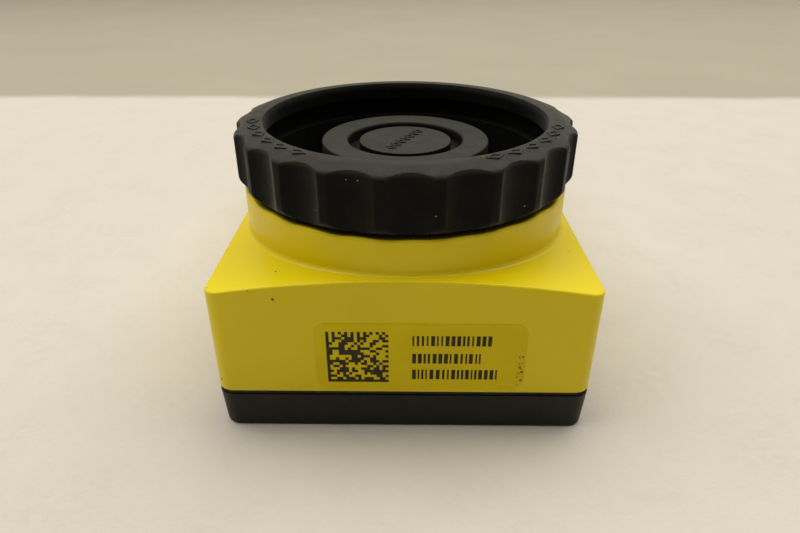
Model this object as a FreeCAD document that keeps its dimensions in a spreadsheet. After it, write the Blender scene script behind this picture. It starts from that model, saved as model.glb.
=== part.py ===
import FreeCAD, Part
import math
import os
import Sketcher

# A vision camera in a die-cast housing, lying on its rear cover. Millimetres. The origin is where the
# optical axis meets the rear face; +Z is the viewing direction, +Y runs to the connector end.

SIZES = {
    # housing: a long shell with a vaulted front and a round collar about the optical axis
    "body_width": 61.4,
    "body_length": 114.1,
    "vault_rise": 2.5,
    "wall": 3.0,
    "cavity_height": 15.4,
    "roof_thickness": 3.2,
    "corner_radius": 2.6,
    "edge_round": 0.45,
    "rim_chamfer": 0.3,
    "collar_margin": 1.5,
    "collar_rise": 7.0,
    "collar_wall": 1.9,
    "collar_root": 0.8,
    "collar_chamfer": 0.3,
    "neck_seat_depth": 5.0,
    "throat_margin": 1.0,
    # rear cover and its gasket
    "cover_thickness": 6.8,
    "cover_draft": 3.0,
    "cover_floor": 3.2,
    "cover_rim": 4.2,
    "gasket_thickness": 0.6,
    "gasket_inset": 0.4,
    "gasket_clearance": 0.15,
    "screw_inset": 6.0,
    "cover_boss_radius": 3.8,
    "screw_radius": 1.5,
    "screw_hole_clearance": 0.2,
    "screw_reach": 7.0,
    "screw_hole_spare": 1.0,
    "screw_head_radius": 2.75,
    "screw_head_height": 3.0,
    "screw_head_depth": 0.4,
    "screw_socket_width": 2.5,
    "mount_spacing_x": 40.0,
    "mount_spacing_y": 80.0,
    "mount_hole_radius": 1.65,
    "mount_hole_depth": 5.0,
    "mount_boss_radius": 4.0,
    # lens turret: threaded neck, floor and the lens seat in its middle
    "neck_reach": 4.9,
    "neck_wall": 2.8,
    "neck_fit": 0.1,
    "turret_floor": 2.5,
    "spigot_drop": 4.0,
    "spigot_fit": 0.2,
    "seat_rise": 0.3,
    "mount_boss": 15.0,
    "mount_bore": 12.27,
    "seat_depth": 8.0,
    "light_bore": 9.5,
    "turret_screw_radius": 1.25,
    "turret_screw_head": 2.2,
    "turret_screw_head_height": 1.5,
    "turret_screw_reach": 3.4,
    "turret_hole_spare": 0.5,
    "small_socket_width": 2.0,
    "small_hole_clearance": 0.15,
    "seal_groove_rise": 1.6,
    "seal_cord": 1.5,
    "seal_side_gap": 0.15,
    # ring that screws on the neck
    "ring_gap": 0.8,
    "ring_wall": 2.79,
    "ring_lip": 3.0,
    "ring_lip_width": 2.18,
    "window_room": 3.4,
    "ring_thread_fit": 0.08,
    "ring_top_chamfer_in": 1.3,
    "ring_top_chamfer_down": 1.8,
    "ring_foot_chamfer_in": 1.5,
    "ring_foot_chamfer_up": 1.3,
    "ring_lip_chamfer": 0.9,
    "flute_count": 22,
    "flute_depth": 0.8,
    "flute_radius": 6.2,
    "ring_phase": 1.6,
    "ring_seal_height": 1.2,
    "ring_seal_width": 1.0,
    "ring_seal_start": 1.5,
    "ring_seal_fit": 0.06,
    "ring_seal_end_gap": 0.15,
    # dust cap in the lens seat
    "cap_radius": 15.03,
    "cap_flange": 1.5,
    "cap_seat_gap": 0.1,
    "cap_plug_fit": 0.09,
    "cap_plug_length": 3.6,
    "cap_plug_wall": 1.3,
    "cap_web": 1.2,
    "cap_groove_floor": 0.7,
    "cap_groove_slope": 1.6,
    "cap_groove_depth": 1.6,
    "cap_button_radius": 8.3,
    "cap_edge": 0.3,
    # window under the lens seat
    "window_fit": 0.17,
    "window_thickness": 1.0,
    "retainer_fit": 0.05,
    "retainer_width": 1.82,
    "retainer_height": 1.4,
    # image sensor and boards
    "flange_focal": 17.526,
    "sensor_width": 17.0,
    "sensor_thickness": 2.0,
    "sensor_glass_width": 14.0,
    "sensor_glass_thickness": 0.7,
    "board_thickness": 1.6,
    "board_side_gap": 0.4,
    "board_hole_inset": 3.0,
    "board_boss_radius": 2.4,
    "board_screw_radius": 1.25,
    "board_screw_head": 2.2,
    "board_screw_head_height": 1.4,
    "board_screw_reach": 3.0,
    "board_hole_spare": 0.4,
    "standoff_flats": 4.5,
    "standoff_length": 5.0,
    "processor_width": 17.0,
    "processor_height": 1.6,
    "processor_y": 12.0,
    "memory_width": 8.0,
    "memory_length": 12.5,
    "memory_height": 1.1,
    "memory_y": 34.0,
    "memory_spacing": 12.0,
    "thermal_pad": 1.0,
    "link_width": 24.0,
    "link_depth": 5.0,
    "link_y": 0.0,
    # connectors at the end wall
    "nut_side_gap": 0.8,
    "plug_reach": 10.0,
    "plug_thread_radius": 6.0,
    "plug_flange_radius": 7.6,
    "plug_flange": 1.8,
    "plug_tail_radius": 6.0,
    "plug_tail": 6.6,
    "plug_tail_fit": 0.1,
    "plug_bore": 4.9,
    "plug_floor": 3.0,
    "plug_back_wall": 1.6,
    "plug_back_bore": 4.1,
    "pin_radius": 0.4,
    "pin_circle": 2.75,
    "pin_ring_count": 7,
    "pin_tip": 8.2,
    "socket_shell_reach": 8.4,
    "socket_shell_radius": 7.0,
    "socket_shell_bore": 5.55,
    "socket_core_radius": 4.2,
    "socket_tip": 7.6,
    "socket_circle": 2.5,
    "socket_count": 4,
    "socket_radius": 0.75,
    "socket_bore": 0.5,
    "washer_thickness": 0.8,
    "washer_inset": 0.3,
    "nut_flats": 14.0,
    "nut_height": 2.4,
    "board_gap": 2.4,
    "end_board_overhang": 1.0,
    "end_board_height": 12.4,
    "lamp_radius": 1.25,
    "lamp_spacing": 7.0,
    "lamp_count": 2,
    "lamp_proud": 0.3,
    "led_height": 0.9,
    "led_width": 2.0,
    "lamp_led_gap": 0.4,
    # label on the end face below the collar
    "label_width": 33.3,
    "label_height": 12.7,
    "label_film": 0.12,
    "label_corner": 2.0,
    "label_shift": 2.6,
    "label_gap": 0.9,
}

RELATIONS = {
    "half_width": "body_width / 2",
    "axis_to_end": "half_width",
    "roof_underside": "housing_bottom + cavity_height",
    "side_height": "roof_underside + roof_thickness",
    "collar_radius": "half_width - collar_margin",
    "collar_top": "side_height + collar_rise",
    "shoulder_height": "collar_top - neck_seat_depth",
    "throat_radius": "mount_boss + throat_margin",
    "end_front": "-axis_to_end",
    "end_rear": "body_length - axis_to_end",
    "housing_bottom": "cover_thickness + gasket_thickness",
    "vault_radius": "body_width * body_width / (8 * vault_rise) + vault_rise / 2",
    "collar_height": "collar_top - side_height + wall",
    "collar_start": "side_height - wall",
    "cavity_half_width": "half_width - wall",
    "cavity_front": "end_front + wall",
    "cavity_rear": "end_rear - wall",
    "cavity_depth": "roof_underside - housing_bottom",
    "neck_hole": "collar_radius - collar_wall",
    "neck_radius": "neck_hole - neck_fit",
    "neck_bore": "neck_radius - neck_wall",
    "neck_top": "ring_bottom + neck_reach",
    "mount_seat": "neck_top + seat_rise",
    "window_seat": "mount_seat - seat_depth",
    "screw_x": "half_width - screw_inset",
    "screw_front": "end_front + screw_inset",
    "screw_rear": "end_rear - screw_inset",
    "screw_middle": "(end_front + end_rear) / 2",
    "screw_hole": "screw_radius + screw_hole_clearance",
    "screw_sink_radius": "screw_head_radius + screw_hole_clearance",
    "screw_sink": "screw_head_height + screw_head_depth",
    "screw_tip": "housing_bottom + screw_reach",
    "screw_length": "screw_tip - screw_sink",
    "mount_x": "mount_spacing_x / 2",
    "mount_low": "screw_middle - mount_spacing_y / 2",
    "mount_high": "screw_middle + mount_spacing_y / 2",
    "cover_pocket": "cover_thickness - cover_floor",
    "cover_inner_x": "half_width - cover_rim",
    "cover_inner_front": "end_front + cover_rim",
    "cover_inner_rear": "end_rear - cover_rim",
    "cover_boss_height": "housing_bottom - cover_floor",
    "gasket_x": "half_width - gasket_inset",
    "gasket_front": "end_front + gasket_inset",
    "gasket_rear": "end_rear - gasket_inset",
    "turret_floor_top": "shoulder_height + turret_floor",
    "spigot_radius": "throat_radius - spigot_fit",
    "spigot_bottom": "shoulder_height - spigot_drop",
    "turret_screw_hole": "turret_screw_radius + small_hole_clearance",
    "turret_screw_tip": "shoulder_height - turret_screw_reach",
    "turret_screw_length": "turret_floor_top - turret_screw_tip",
    "seal_groove_height": "shoulder_height + seal_groove_rise",
    "seal_groove_foot": "neck_hole - seal_cord",
    "seal_groove_top": "seal_groove_height + seal_cord + 2 * seal_side_gap",
    "seal_bottom": "seal_groove_height + seal_side_gap",
    "seal_top": "seal_bottom + seal_cord",
    "ring_bottom": "collar_top + ring_gap",
    "ring_bore": "neck_radius + ring_thread_fit",
    "ring_radius": "ring_bore + ring_wall",
    "ring_lip_radius": "ring_bore - ring_lip_width",
    "ring_lip_bottom": "neck_top + window_room",
    "ring_top": "ring_lip_bottom + ring_lip",
    "ring_flat_radius": "ring_radius - ring_top_chamfer_in",
    "ring_shoulder": "ring_top - ring_top_chamfer_down",
    "ring_foot_radius": "ring_radius - ring_foot_chamfer_in",
    "ring_foot": "ring_bottom + ring_foot_chamfer_up",
    "ring_lip_edge": "ring_lip_radius + ring_lip_chamfer",
    "ring_lip_break": "ring_top - ring_lip_chamfer",
    "ring_height": "ring_top - ring_bottom",
    "flute_axis": "ring_radius - flute_depth + flute_radius",
    "seal_slot_bottom": "ring_bottom + ring_seal_start",
    "seal_slot_top": "seal_slot_bottom + ring_seal_height + 2 * ring_seal_end_gap",
    "seal_slot_radius": "ring_bore + ring_seal_width",
    "ring_seal_bottom": "seal_slot_bottom + ring_seal_end_gap",
    "ring_seal_top": "ring_seal_bottom + ring_seal_height",
    "ring_seal_inner": "neck_radius + ring_seal_fit",
    "ring_seal_outer": "seal_slot_radius - ring_seal_fit",
    "cap_bottom": "mount_seat + cap_seat_gap",
    "cap_top": "cap_bottom + cap_flange",
    "cap_plug_radius": "mount_bore - cap_plug_fit",
    "cap_plug_bore": "cap_plug_radius - cap_plug_wall",
    "cap_plug_end": "cap_bottom - cap_plug_length",
    "cap_groove_foot": "cap_button_radius + cap_groove_floor",
    "cap_groove_radius": "cap_groove_foot + cap_groove_slope",
    "cap_groove_bottom": "cap_top - cap_groove_depth",
    "cap_underside": "cap_groove_bottom - cap_web",
    "cap_button_edge": "cap_button_radius - cap_edge",
    "cap_button_break": "cap_top - cap_edge",
    "cap_flange_edge": "cap_radius - cap_edge",
    "cap_flange_break": "cap_top - cap_edge",
    "window_radius": "mount_bore - window_fit",
    "window_top": "window_seat + window_thickness",
    "retainer_top": "window_top + retainer_height",
    "retainer_radius": "mount_bore - retainer_fit",
    "retainer_bore": "retainer_radius - retainer_width",
    "focal_plane": "mount_seat - flange_focal",
    "sensor_bottom": "focal_plane - sensor_thickness",
    "sensor_half": "sensor_width / 2",
    "sensor_glass_half": "sensor_glass_width / 2",
    "sensor_board_bottom": "sensor_bottom - board_thickness",
    "board_half": "screw_x - cover_boss_radius - board_side_gap",
    "board_hole_at": "board_half - board_hole_inset",
    "sensor_boss_height": "roof_underside - sensor_bottom",
    "board_screw_hole": "board_screw_radius + small_hole_clearance",
    "board_top": "sensor_board_bottom - standoff_length",
    "board_bottom": "board_top - board_thickness",
    "board_front": "-board_half",
    "end_board_rear": "cavity_rear - plug_tail + wall - board_gap",
    "end_board_front": "end_board_rear - board_thickness",
    "end_board_half": "board_half + end_board_overhang",
    "end_board_width": "2 * end_board_half",
    "rear_boss_y": "end_board_front - board_hole_inset",
    "rear_boss_height": "roof_underside - board_top",
    "board_screw_length": "board_thickness + board_screw_reach",
    "board_screw_bottom": "board_bottom - board_screw_head_height",
    "standoff_radius": "standoff_flats / sqrt(3)",
    "stud_length": "board_thickness + board_screw_reach",
    "processor_half": "processor_width / 2",
    "processor_front": "processor_y - processor_half",
    "processor_bottom": "board_bottom - processor_height",
    "pad_bottom": "processor_bottom - thermal_pad",
    "pedestal_height": "pad_bottom - cover_floor",
    "memory_front": "memory_y - memory_length / 2",
    "memory_left": "-memory_spacing / 2 - memory_width / 2",
    "memory_right": "memory_spacing / 2 - memory_width / 2",
    "link_half": "link_width / 2",
    "link_front": "link_y - link_depth / 2",
    "link_height": "standoff_length",
    "plug_x": "screw_x - cover_boss_radius - nut_circle - nut_side_gap",
    "plug_height": "(housing_bottom + roof_underside) / 2",
    "plug_seat": "washer_thickness",
    "plug_flange_top": "washer_thickness + plug_flange",
    "plug_hole": "plug_tail_radius + plug_tail_fit",
    "plug_floor_level": "washer_thickness + plug_floor",
    "plug_back": "-plug_tail + plug_back_wall",
    "plug_pin_start": "-plug_tail - board_gap",
    "plug_pin_length": "pin_tip - plug_pin_start",
    "socket_pin_length": "socket_tip - plug_pin_start",
    "nut_circle": "nut_flats / sqrt(3)",
    "nut_start": "-wall - nut_height",
    "end_board_low": "plug_height - end_board_height / 2",
    "led_half": "led_width / 2",
    "lamp_start": "end_board_rear + led_height + lamp_led_gap",
    "lamp_end": "end_rear + lamp_proud",
    "lamp_length": "lamp_end - lamp_start",
    "label_left": "label_shift - label_width / 2",
    "label_right": "label_shift + label_width / 2",
    "label_low": "housing_bottom + label_gap",
    "label_high": "label_low + label_height",
    "collar_depth": "collar_top - shoulder_height",
    "throat_depth": "shoulder_height - roof_underside",
    "screw_hole_depth": "screw_reach + screw_hole_spare",
    "turret_screw_at": "(neck_bore + mount_boss) / sqrt(8)",
    "turret_hole_depth": "turret_screw_reach + turret_hole_spare",
    "board_hole_depth": "board_screw_reach + board_hole_spare",
    "memory_bottom": "board_bottom - memory_height",
    "cover_taper": "-cover_draft",
    "gasket_hole": "cover_boss_radius + gasket_clearance",
    "socket_bore_depth": "plug_pin_length / 3",
    "socket_bore_start": "socket_tip - socket_bore_depth",
    "washer_bore": "plug_tail_radius",
    "washer_radius": "plug_flange_radius - washer_inset",
    "processor_back": "processor_front + processor_width",
    "gasket_corner": "corner_radius - gasket_inset",
    "plug_through": "plug_floor_level + plug_tail",
    "socket_through": "socket_tip + plug_tail",
    "screw_socket_circle": "screw_socket_width / sqrt(3)",
    "screw_socket_depth": "screw_head_height / 2",
    "turret_socket_circle": "small_socket_width / sqrt(3)",
    "turret_socket_depth": "turret_screw_head_height / 2",
    "turret_socket_foot": "turret_floor_top + turret_socket_depth",
    "board_socket_circle": "small_socket_width / sqrt(3)",
    "board_socket_depth": "board_screw_head_height / 2",
}

for number in range(int(SIZES["pin_ring_count"])):
    RELATIONS[f"pin_x_{number}"] = f"pin_circle * cos({number} * 360 / pin_ring_count)"
    RELATIONS[f"pin_y_{number}"] = f"pin_circle * sin({number} * 360 / pin_ring_count)"
for number in range(int(SIZES["socket_count"])):
    RELATIONS[f"socket_x_{number}"] = f"socket_circle * cos(({number} + 0.5) * 360 / socket_count)"
    RELATIONS[f"socket_y_{number}"] = f"socket_circle * sin(({number} + 0.5) * 360 / socket_count)"
for number in range(int(SIZES["lamp_count"])):
    RELATIONS[f"lamp_level_{number}"] = f"plug_height + ({number} - (lamp_count - 1) / 2) * lamp_spacing"
    RELATIONS[f"led_foot_{number}"] = f"lamp_level_{number} - led_half"

doc = FreeCAD.newDocument("vision_camera")
sheet = doc.addObject("Spreadsheet::Sheet", "Sizes")
rows = [(name, str(size)) for name, size in SIZES.items()]
rows += [(name, "=" + relation) for name, relation in RELATIONS.items()]
for row, (name, content) in enumerate(rows, start=1):
    sheet.set(f"A{row}", name)
    sheet.set(f"B{row}", content)
    sheet.setAlias(f"B{row}", name)
doc.recompute()

nodes = []
NEAR = 0.01
TINY = 0.000001


def value(term):
    """The number behind a size name, which may carry a minus sign; "0" is zero."""
    name = term.lstrip("-")
    number = 0.0 if name == "0" else float(sheet.get(name))
    return -number if term.startswith("-") else number


def link(term):
    """The same size as an expression."""
    name = term.lstrip("-")
    text = "0" if name == "0" else "Sizes." + name
    return "-" + text if term.startswith("-") else text


def bind(item, **terms):
    """Sets properties of item from size names; a double underscore stands for a dot."""
    for key, term in terms.items():
        item.setExpression(key.replace("__", "."), link(term))


def place(item, x="0", y="0", z="0"):
    """Puts item at a point given by size names and keeps it bound to them."""
    item.Placement.Base = FreeCAD.Vector(value(x), value(y), value(z))
    bind(item, Placement__Base__x=x, Placement__Base__y=y, Placement__Base__z=z)
    return item


def keep(item):
    """Notes item as a finished sub-part."""
    nodes.append(item)
    return item


def new_body(label):
    body = doc.addObject("PartDesign::Body", label)
    body.Label = label
    body.AllowCompound = True
    return body


def new_sketch(body, plane, name, offset="0"):
    """A sketch on one of the body's own origin planes, moved along its normal by offset."""
    sketch = body.newObject("Sketcher::SketchObject", name)
    base = [item for item in body.Origin.OriginFeatures if item.Role == plane][0]
    sketch.AttachmentSupport = [(base, "")]
    sketch.MapMode = "FlatFace"
    if offset != "0":
        sketch.AttachmentOffset.Base = FreeCAD.Vector(0, 0, value(offset))
        bind(sketch, AttachmentOffset__Base__z=offset)
    return sketch


def pin_point(sketch, edge, end, x, y):
    """Holds one end of an edge at the coordinates x and y."""
    if x == "0":
        sketch.addConstraint(Sketcher.Constraint("PointOnObject", edge, end, -2))
    else:
        index = sketch.addConstraint(Sketcher.Constraint("DistanceX", -1, 1, edge, end, value(x)))
        sketch.setExpression(f"Constraints[{index}]", link(x))
    if y == "0":
        sketch.addConstraint(Sketcher.Constraint("PointOnObject", edge, end, -1))
    else:
        index = sketch.addConstraint(Sketcher.Constraint("DistanceY", -1, 1, edge, end, value(y)))
        sketch.setExpression(f"Constraints[{index}]", link(y))


def draw_outline(sketch, corners, arcs=None):
    """A closed outline through corners, pairs of size names. arcs gives the radius of each edge that
    is an arc; such an edge bulges to the right of the way round."""
    arcs = arcs or {}
    points = [FreeCAD.Vector(value(x), value(y), 0) for x, y in corners]
    ends = []
    for number, start in enumerate(points):
        stop = points[(number + 1) % len(points)]
        if number in arcs:
            radius = value(arcs[number])
            chord = stop - start
            half = chord.Length / 2
            sagitta = radius - math.sqrt(radius * radius - half * half)
            right = FreeCAD.Vector(chord.y, -chord.x, 0).normalize()
            crown = (start + stop) * 0.5 + right * sagitta
            edge = sketch.addGeometry(Part.Arc(start, crown, stop), False)
        else:
            edge = sketch.addGeometry(Part.LineSegment(start, stop), False)
        first = 1 if (sketch.getPoint(edge, 1) - start).Length < TINY else 2
        ends.append((edge, first, 3 - first))
    for number, (edge, first, last) in enumerate(ends):
        follower, follower_first, _ = ends[(number + 1) % len(ends)]
        sketch.addConstraint(Sketcher.Constraint("Coincident", edge, last, follower, follower_first))
        pin_point(sketch, edge, first, *corners[number])
        if number in arcs:
            index = sketch.addConstraint(Sketcher.Constraint("Radius", edge, value(arcs[number])))
            sketch.setExpression(f"Constraints[{index}]", link(arcs[number]))


def draw_circles(sketch, sites, radius):
    """Circles of one radius at sites, pairs of size names."""
    for x, y in sites:
        centre = FreeCAD.Vector(value(x), value(y), 0)
        circle = Part.Circle(centre, FreeCAD.Vector(0, 0, 1), value(radius))
        edge = sketch.addGeometry(circle, False)
        pin_point(sketch, edge, 3, x, y)
        index = sketch.addConstraint(Sketcher.Constraint("Radius", edge, value(radius)))
        sketch.setExpression(f"Constraints[{index}]", link(radius))


def rectangle(x_low, x_high, y_low, y_high):
    return [(x_low, y_low), (x_high, y_low), (x_high, y_high), (x_low, y_high)]


def add_pad(body, sketch, name, length, backwards=False, taper=None):
    pad = body.newObject("PartDesign::Pad", name)
    pad.Profile = sketch
    pad.Length = value(length)
    pad.Reversed = backwards
    bind(pad, Length=length)
    if taper:
        bind(pad, TaperAngle=taper)
    doc.recompute()
    return pad


def add_pocket(body, sketch, name, length, upwards=False):
    """Cuts along the sketch's normal where upwards is set, else against it, and makes sure it cut."""
    before = body.Shape.Volume
    pocket = body.newObject("PartDesign::Pocket", name)
    pocket.Profile = sketch
    pocket.Length = value(length)
    pocket.Reversed = upwards
    bind(pocket, Length=length)
    doc.recompute()
    if body.Shape.Volume > before - TINY:
        raise RuntimeError(name + " cuts nothing")
    return pocket


def round_edges(body, name, size, chosen, kind="Fillet"):
    """Fillets or chamfers the edges of the body's tip for which chosen(edge) is true."""
    base = body.Tip
    names = [f"Edge{i}" for i, edge in enumerate(base.Shape.Edges, start=1) if chosen(edge)]
    if not names:
        raise RuntimeError(name + " finds no edge")
    feature = body.newObject("PartDesign::" + kind, name)
    feature.Base = (base, names)
    key = "Radius" if kind == "Fillet" else "Size"
    setattr(feature, key, value(size))
    bind(feature, **{key: size})
    doc.recompute()
    return feature


def turn_body(label, profile, name="profile"):
    """A body of revolution about its Z axis from an outline of (radius, height) size names."""
    body = new_body(label)
    sketch = new_sketch(body, "XZ_Plane", name)
    draw_outline(sketch, profile)
    turned = body.newObject("PartDesign::Revolution", "turned")
    turned.Profile = sketch
    turned.ReferenceAxis = (sketch, ["V_Axis"])
    turned.Angle = 360
    doc.recompute()
    return body


def turn_groove(body, profile, name):
    """Turns an outline of (radius, height) size names out of a body of revolution."""
    before = body.Shape.Volume
    sketch = new_sketch(body, "XZ_Plane", name + "_profile")
    draw_outline(sketch, profile)
    groove = body.newObject("PartDesign::Groove", name)
    groove.Profile = sketch
    groove.ReferenceAxis = (sketch, ["V_Axis"])
    groove.Angle = 360
    doc.recompute()
    if body.Shape.Volume > before - TINY:
        raise RuntimeError(name + " cuts nothing")
    return groove


def plate_body(label, outline, bottom, thickness):
    """A flat plate with its underside at bottom."""
    body = new_body(label)
    sketch = new_sketch(body, "XY_Plane", "outline", bottom)
    draw_outline(sketch, outline)
    add_pad(body, sketch, "plate", thickness)
    return body


def drill(body, name, sites, radius, level, depth, upwards=False):
    sketch = new_sketch(body, "XY_Plane", name + "_centres", level)
    draw_circles(sketch, sites, radius)
    return add_pocket(body, sketch, name, depth, upwards)


def add_bosses(body, name, sites, radius, level, height):
    sketch = new_sketch(body, "XY_Plane", name + "_centres", level)
    draw_circles(sketch, sites, radius)
    return add_pad(body, sketch, name, height)


def is_upright(edge):
    """True for a straight edge along Z."""
    if edge.Curve.TypeId != "Part::GeomLine":
        return False
    direction = edge.tangentAt(edge.FirstParameter)
    return abs(abs(direction.z) - 1) < TINY


def at_corner(edge, half_x):
    """True for an upright edge at the outer corners of a rectangle of half width half_x."""
    return is_upright(edge) and abs(abs(edge.Vertexes[0].X) - half_x) < TINY


def cylinder(name, radius, height, x="0", y="0", z="0"):
    item = doc.addObject("Part::Cylinder", name)
    bind(item, Radius=radius, Height=height)
    return place(item, x, y, z)


def hexagon(name, circle_radius, height, x="0", y="0", z="0"):
    item = doc.addObject("Part::Prism", name)
    item.Polygon = 6
    bind(item, Circumradius=circle_radius, Height=height)
    return place(item, x, y, z)


def block(name, x_size, y_size, z_size, x="0", y="0", z="0"):
    item = doc.addObject("Part::Box", name)
    bind(item, Length=x_size, Width=y_size, Height=z_size)
    return place(item, x, y, z)


def fuse(label, shapes):
    item = doc.addObject("Part::MultiFuse", label)
    item.Label = label
    item.Shapes = shapes
    return item


def gather(label, items):
    """Separate like pieces as one sub-part."""
    item = doc.addObject("Part::Compound", label)
    item.Label = label
    item.Links = items
    return item


def cut(label, base, tool):
    item = doc.addObject("Part::Cut", label)
    item.Label = label
    item.Base = base
    item.Tool = tool
    return item


def four(x, y_low, y_high):
    """Sites at plus and minus x in two rows."""
    return [("-" + x, y_low), (x, y_low), ("-" + x, y_high), (x, y_high)]


COVER_SCREWS = four("screw_x", "screw_front", "screw_rear")
COVER_SCREWS += [("-screw_x", "screw_middle"), ("screw_x", "screw_middle")]
TURRET_SCREWS = four("turret_screw_at", "-turret_screw_at", "turret_screw_at")
SENSOR_BOARD_HOLES = four("board_hole_at", "-board_hole_at", "board_hole_at")
REAR_BOARD_HOLES = [("-board_hole_at", "rear_boss_y"), ("board_hole_at", "rear_boss_y")]
MOUNT_HOLES = four("mount_x", "mount_low", "mount_high")
PLUGS = [("-plug_x", "plug_height"), ("plug_x", "plug_height")]
LAMPS = [("0", f"lamp_level_{number}") for number in range(int(SIZES["lamp_count"]))]


def make_housing():
    """Die-cast shell: a vault run along Y, a collar about the optical axis, bosses under the roof."""
    body = new_body("housing")
    sketch = new_sketch(body, "XZ_Plane", "end_profile", "axis_to_end")
    draw_outline(sketch, rectangle("-half_width", "half_width", "housing_bottom", "side_height"),
                 {2: "vault_radius"})
    add_pad(body, sketch, "vault", "body_length", backwards=True)
    half_width = value("half_width")
    round_edges(body, "corners", "corner_radius", lambda edge: at_corner(edge, half_width))
    vault = max(body.Tip.Shape.Faces, key=lambda face: face.CenterOfMass.z)
    round_edges(body, "vault_rim", "edge_round", lambda edge: any(edge.isSame(side) for side in vault.Edges))
    bottom = value("housing_bottom")
    round_edges(body, "open_rim", "rim_chamfer", lambda edge: edge.BoundBox.ZMax < bottom + NEAR, "Chamfer")

    collar = new_sketch(body, "XY_Plane", "collar_circle", "collar_start")
    draw_circles(collar, [("0", "0")], "collar_radius")
    add_pad(body, collar, "collar", "collar_height")
    radius, top = value("collar_radius"), value("collar_top")

    def on_collar(edge):
        start = edge.Vertexes[0].Point
        return abs(math.hypot(start.x, start.y) - radius) < NEAR

    round_edges(body, "collar_root_fillet", "collar_root",
                lambda edge: on_collar(edge) and edge.BoundBox.ZMax < top - NEAR)
    round_edges(body, "collar_edge", "collar_chamfer",
                lambda edge: on_collar(edge) and edge.BoundBox.ZMin > top - NEAR, "Chamfer")

    cavity = new_sketch(body, "XY_Plane", "cavity_outline", "housing_bottom")
    draw_outline(cavity, rectangle("-cavity_half_width", "cavity_half_width", "cavity_front", "cavity_rear"))
    add_pocket(body, cavity, "cavity", "cavity_depth", upwards=True)
    cavity_half = value("cavity_half_width")
    round_edges(body, "cavity_corners", "corner_radius", lambda edge: at_corner(edge, cavity_half))

    add_bosses(body, "cover_screw_bosses", COVER_SCREWS, "cover_boss_radius", "housing_bottom", "cavity_depth")
    add_bosses(body, "sensor_board_bosses", SENSOR_BOARD_HOLES, "board_boss_radius", "sensor_bottom",
               "sensor_boss_height")
    add_bosses(body, "rear_board_bosses", REAR_BOARD_HOLES, "board_boss_radius", "board_top", "rear_boss_height")

    drill(body, "neck_seat", [("0", "0")], "neck_hole", "collar_top", "collar_depth")
    drill(body, "throat", [("0", "0")], "throat_radius", "shoulder_height", "throat_depth")
    drill(body, "cover_screw_holes", COVER_SCREWS, "screw_radius", "housing_bottom", "screw_hole_depth", True)
    drill(body, "turret_screw_holes", TURRET_SCREWS, "turret_screw_radius", "shoulder_height", "turret_hole_depth")
    drill(body, "sensor_board_holes", SENSOR_BOARD_HOLES, "board_screw_radius", "sensor_bottom",
          "board_hole_depth", True)
    drill(body, "rear_board_holes", REAR_BOARD_HOLES, "board_screw_radius", "board_top", "board_hole_depth", True)

    for name, sites, size in (("plug_holes", PLUGS, "plug_hole"), ("lamp_holes", LAMPS, "lamp_radius")):
        holes = new_sketch(body, "XZ_Plane", name + "_centres", "-end_rear")
        draw_circles(holes, sites, size)
        add_pocket(body, holes, name, "wall", upwards=True)
    return keep(body)


def make_rear_cover():
    """Cast cover with drafted sides, hollowed from inside, with bosses and a pedestal for the heat pad."""
    body = new_body("rear_cover")
    sketch = new_sketch(body, "XY_Plane", "outline", "cover_thickness")
    draw_outline(sketch, rectangle("-half_width", "half_width", "end_front", "end_rear"))
    add_pad(body, sketch, "tray", "cover_thickness", backwards=True, taper="cover_taper")
    thickness = value("cover_thickness")
    round_edges(body, "corners", "corner_radius", lambda edge: edge.BoundBox.ZLength > thickness - NEAR)
    round_edges(body, "rear_rim", "edge_round", lambda edge: edge.BoundBox.ZMax < NEAR)
    pocket = new_sketch(body, "XY_Plane", "pocket_outline", "cover_thickness")
    draw_outline(pocket, rectangle("-cover_inner_x", "cover_inner_x", "cover_inner_front", "cover_inner_rear"))
    add_pocket(body, pocket, "inside", "cover_pocket")
    inner = value("cover_inner_x")
    round_edges(body, "inside_corners", "corner_radius", lambda edge: at_corner(edge, inner))
    add_bosses(body, "screw_bosses", COVER_SCREWS, "cover_boss_radius", "cover_floor", "cover_boss_height")
    add_bosses(body, "mount_bosses", MOUNT_HOLES, "mount_boss_radius", "cover_floor", "cover_pocket")
    pedestal = new_sketch(body, "XY_Plane", "pedestal_outline", "cover_floor")
    draw_outline(pedestal, rectangle("-processor_half", "processor_half", "processor_front", "processor_back"))
    add_pad(body, pedestal, "pedestal", "pedestal_height")
    drill(body, "screw_sinks", COVER_SCREWS, "screw_sink_radius", "0", "screw_sink", True)
    drill(body, "screw_holes", COVER_SCREWS, "screw_hole", "0", "housing_bottom", True)
    drill(body, "mount_holes", MOUNT_HOLES, "mount_hole_radius", "0", "mount_hole_depth", True)
    return keep(body)


def make_gasket():
    outer = rectangle("-gasket_x", "gasket_x", "gasket_front", "gasket_rear")
    body = plate_body("main_gasket", outer, "cover_thickness", "gasket_thickness")
    opening = new_sketch(body, "XY_Plane", "opening_outline", "housing_bottom")
    draw_outline(opening, rectangle("-cavity_half_width", "cavity_half_width", "cavity_front", "cavity_rear"))
    add_pocket(body, opening, "opening", "gasket_thickness")
    outside = value("gasket_x")
    round_edges(body, "corners", "gasket_corner", lambda edge: at_corner(edge, outside))
    drill(body, "screw_reliefs", COVER_SCREWS, "gasket_hole", "housing_bottom", "gasket_thickness")
    return keep(body)


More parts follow.
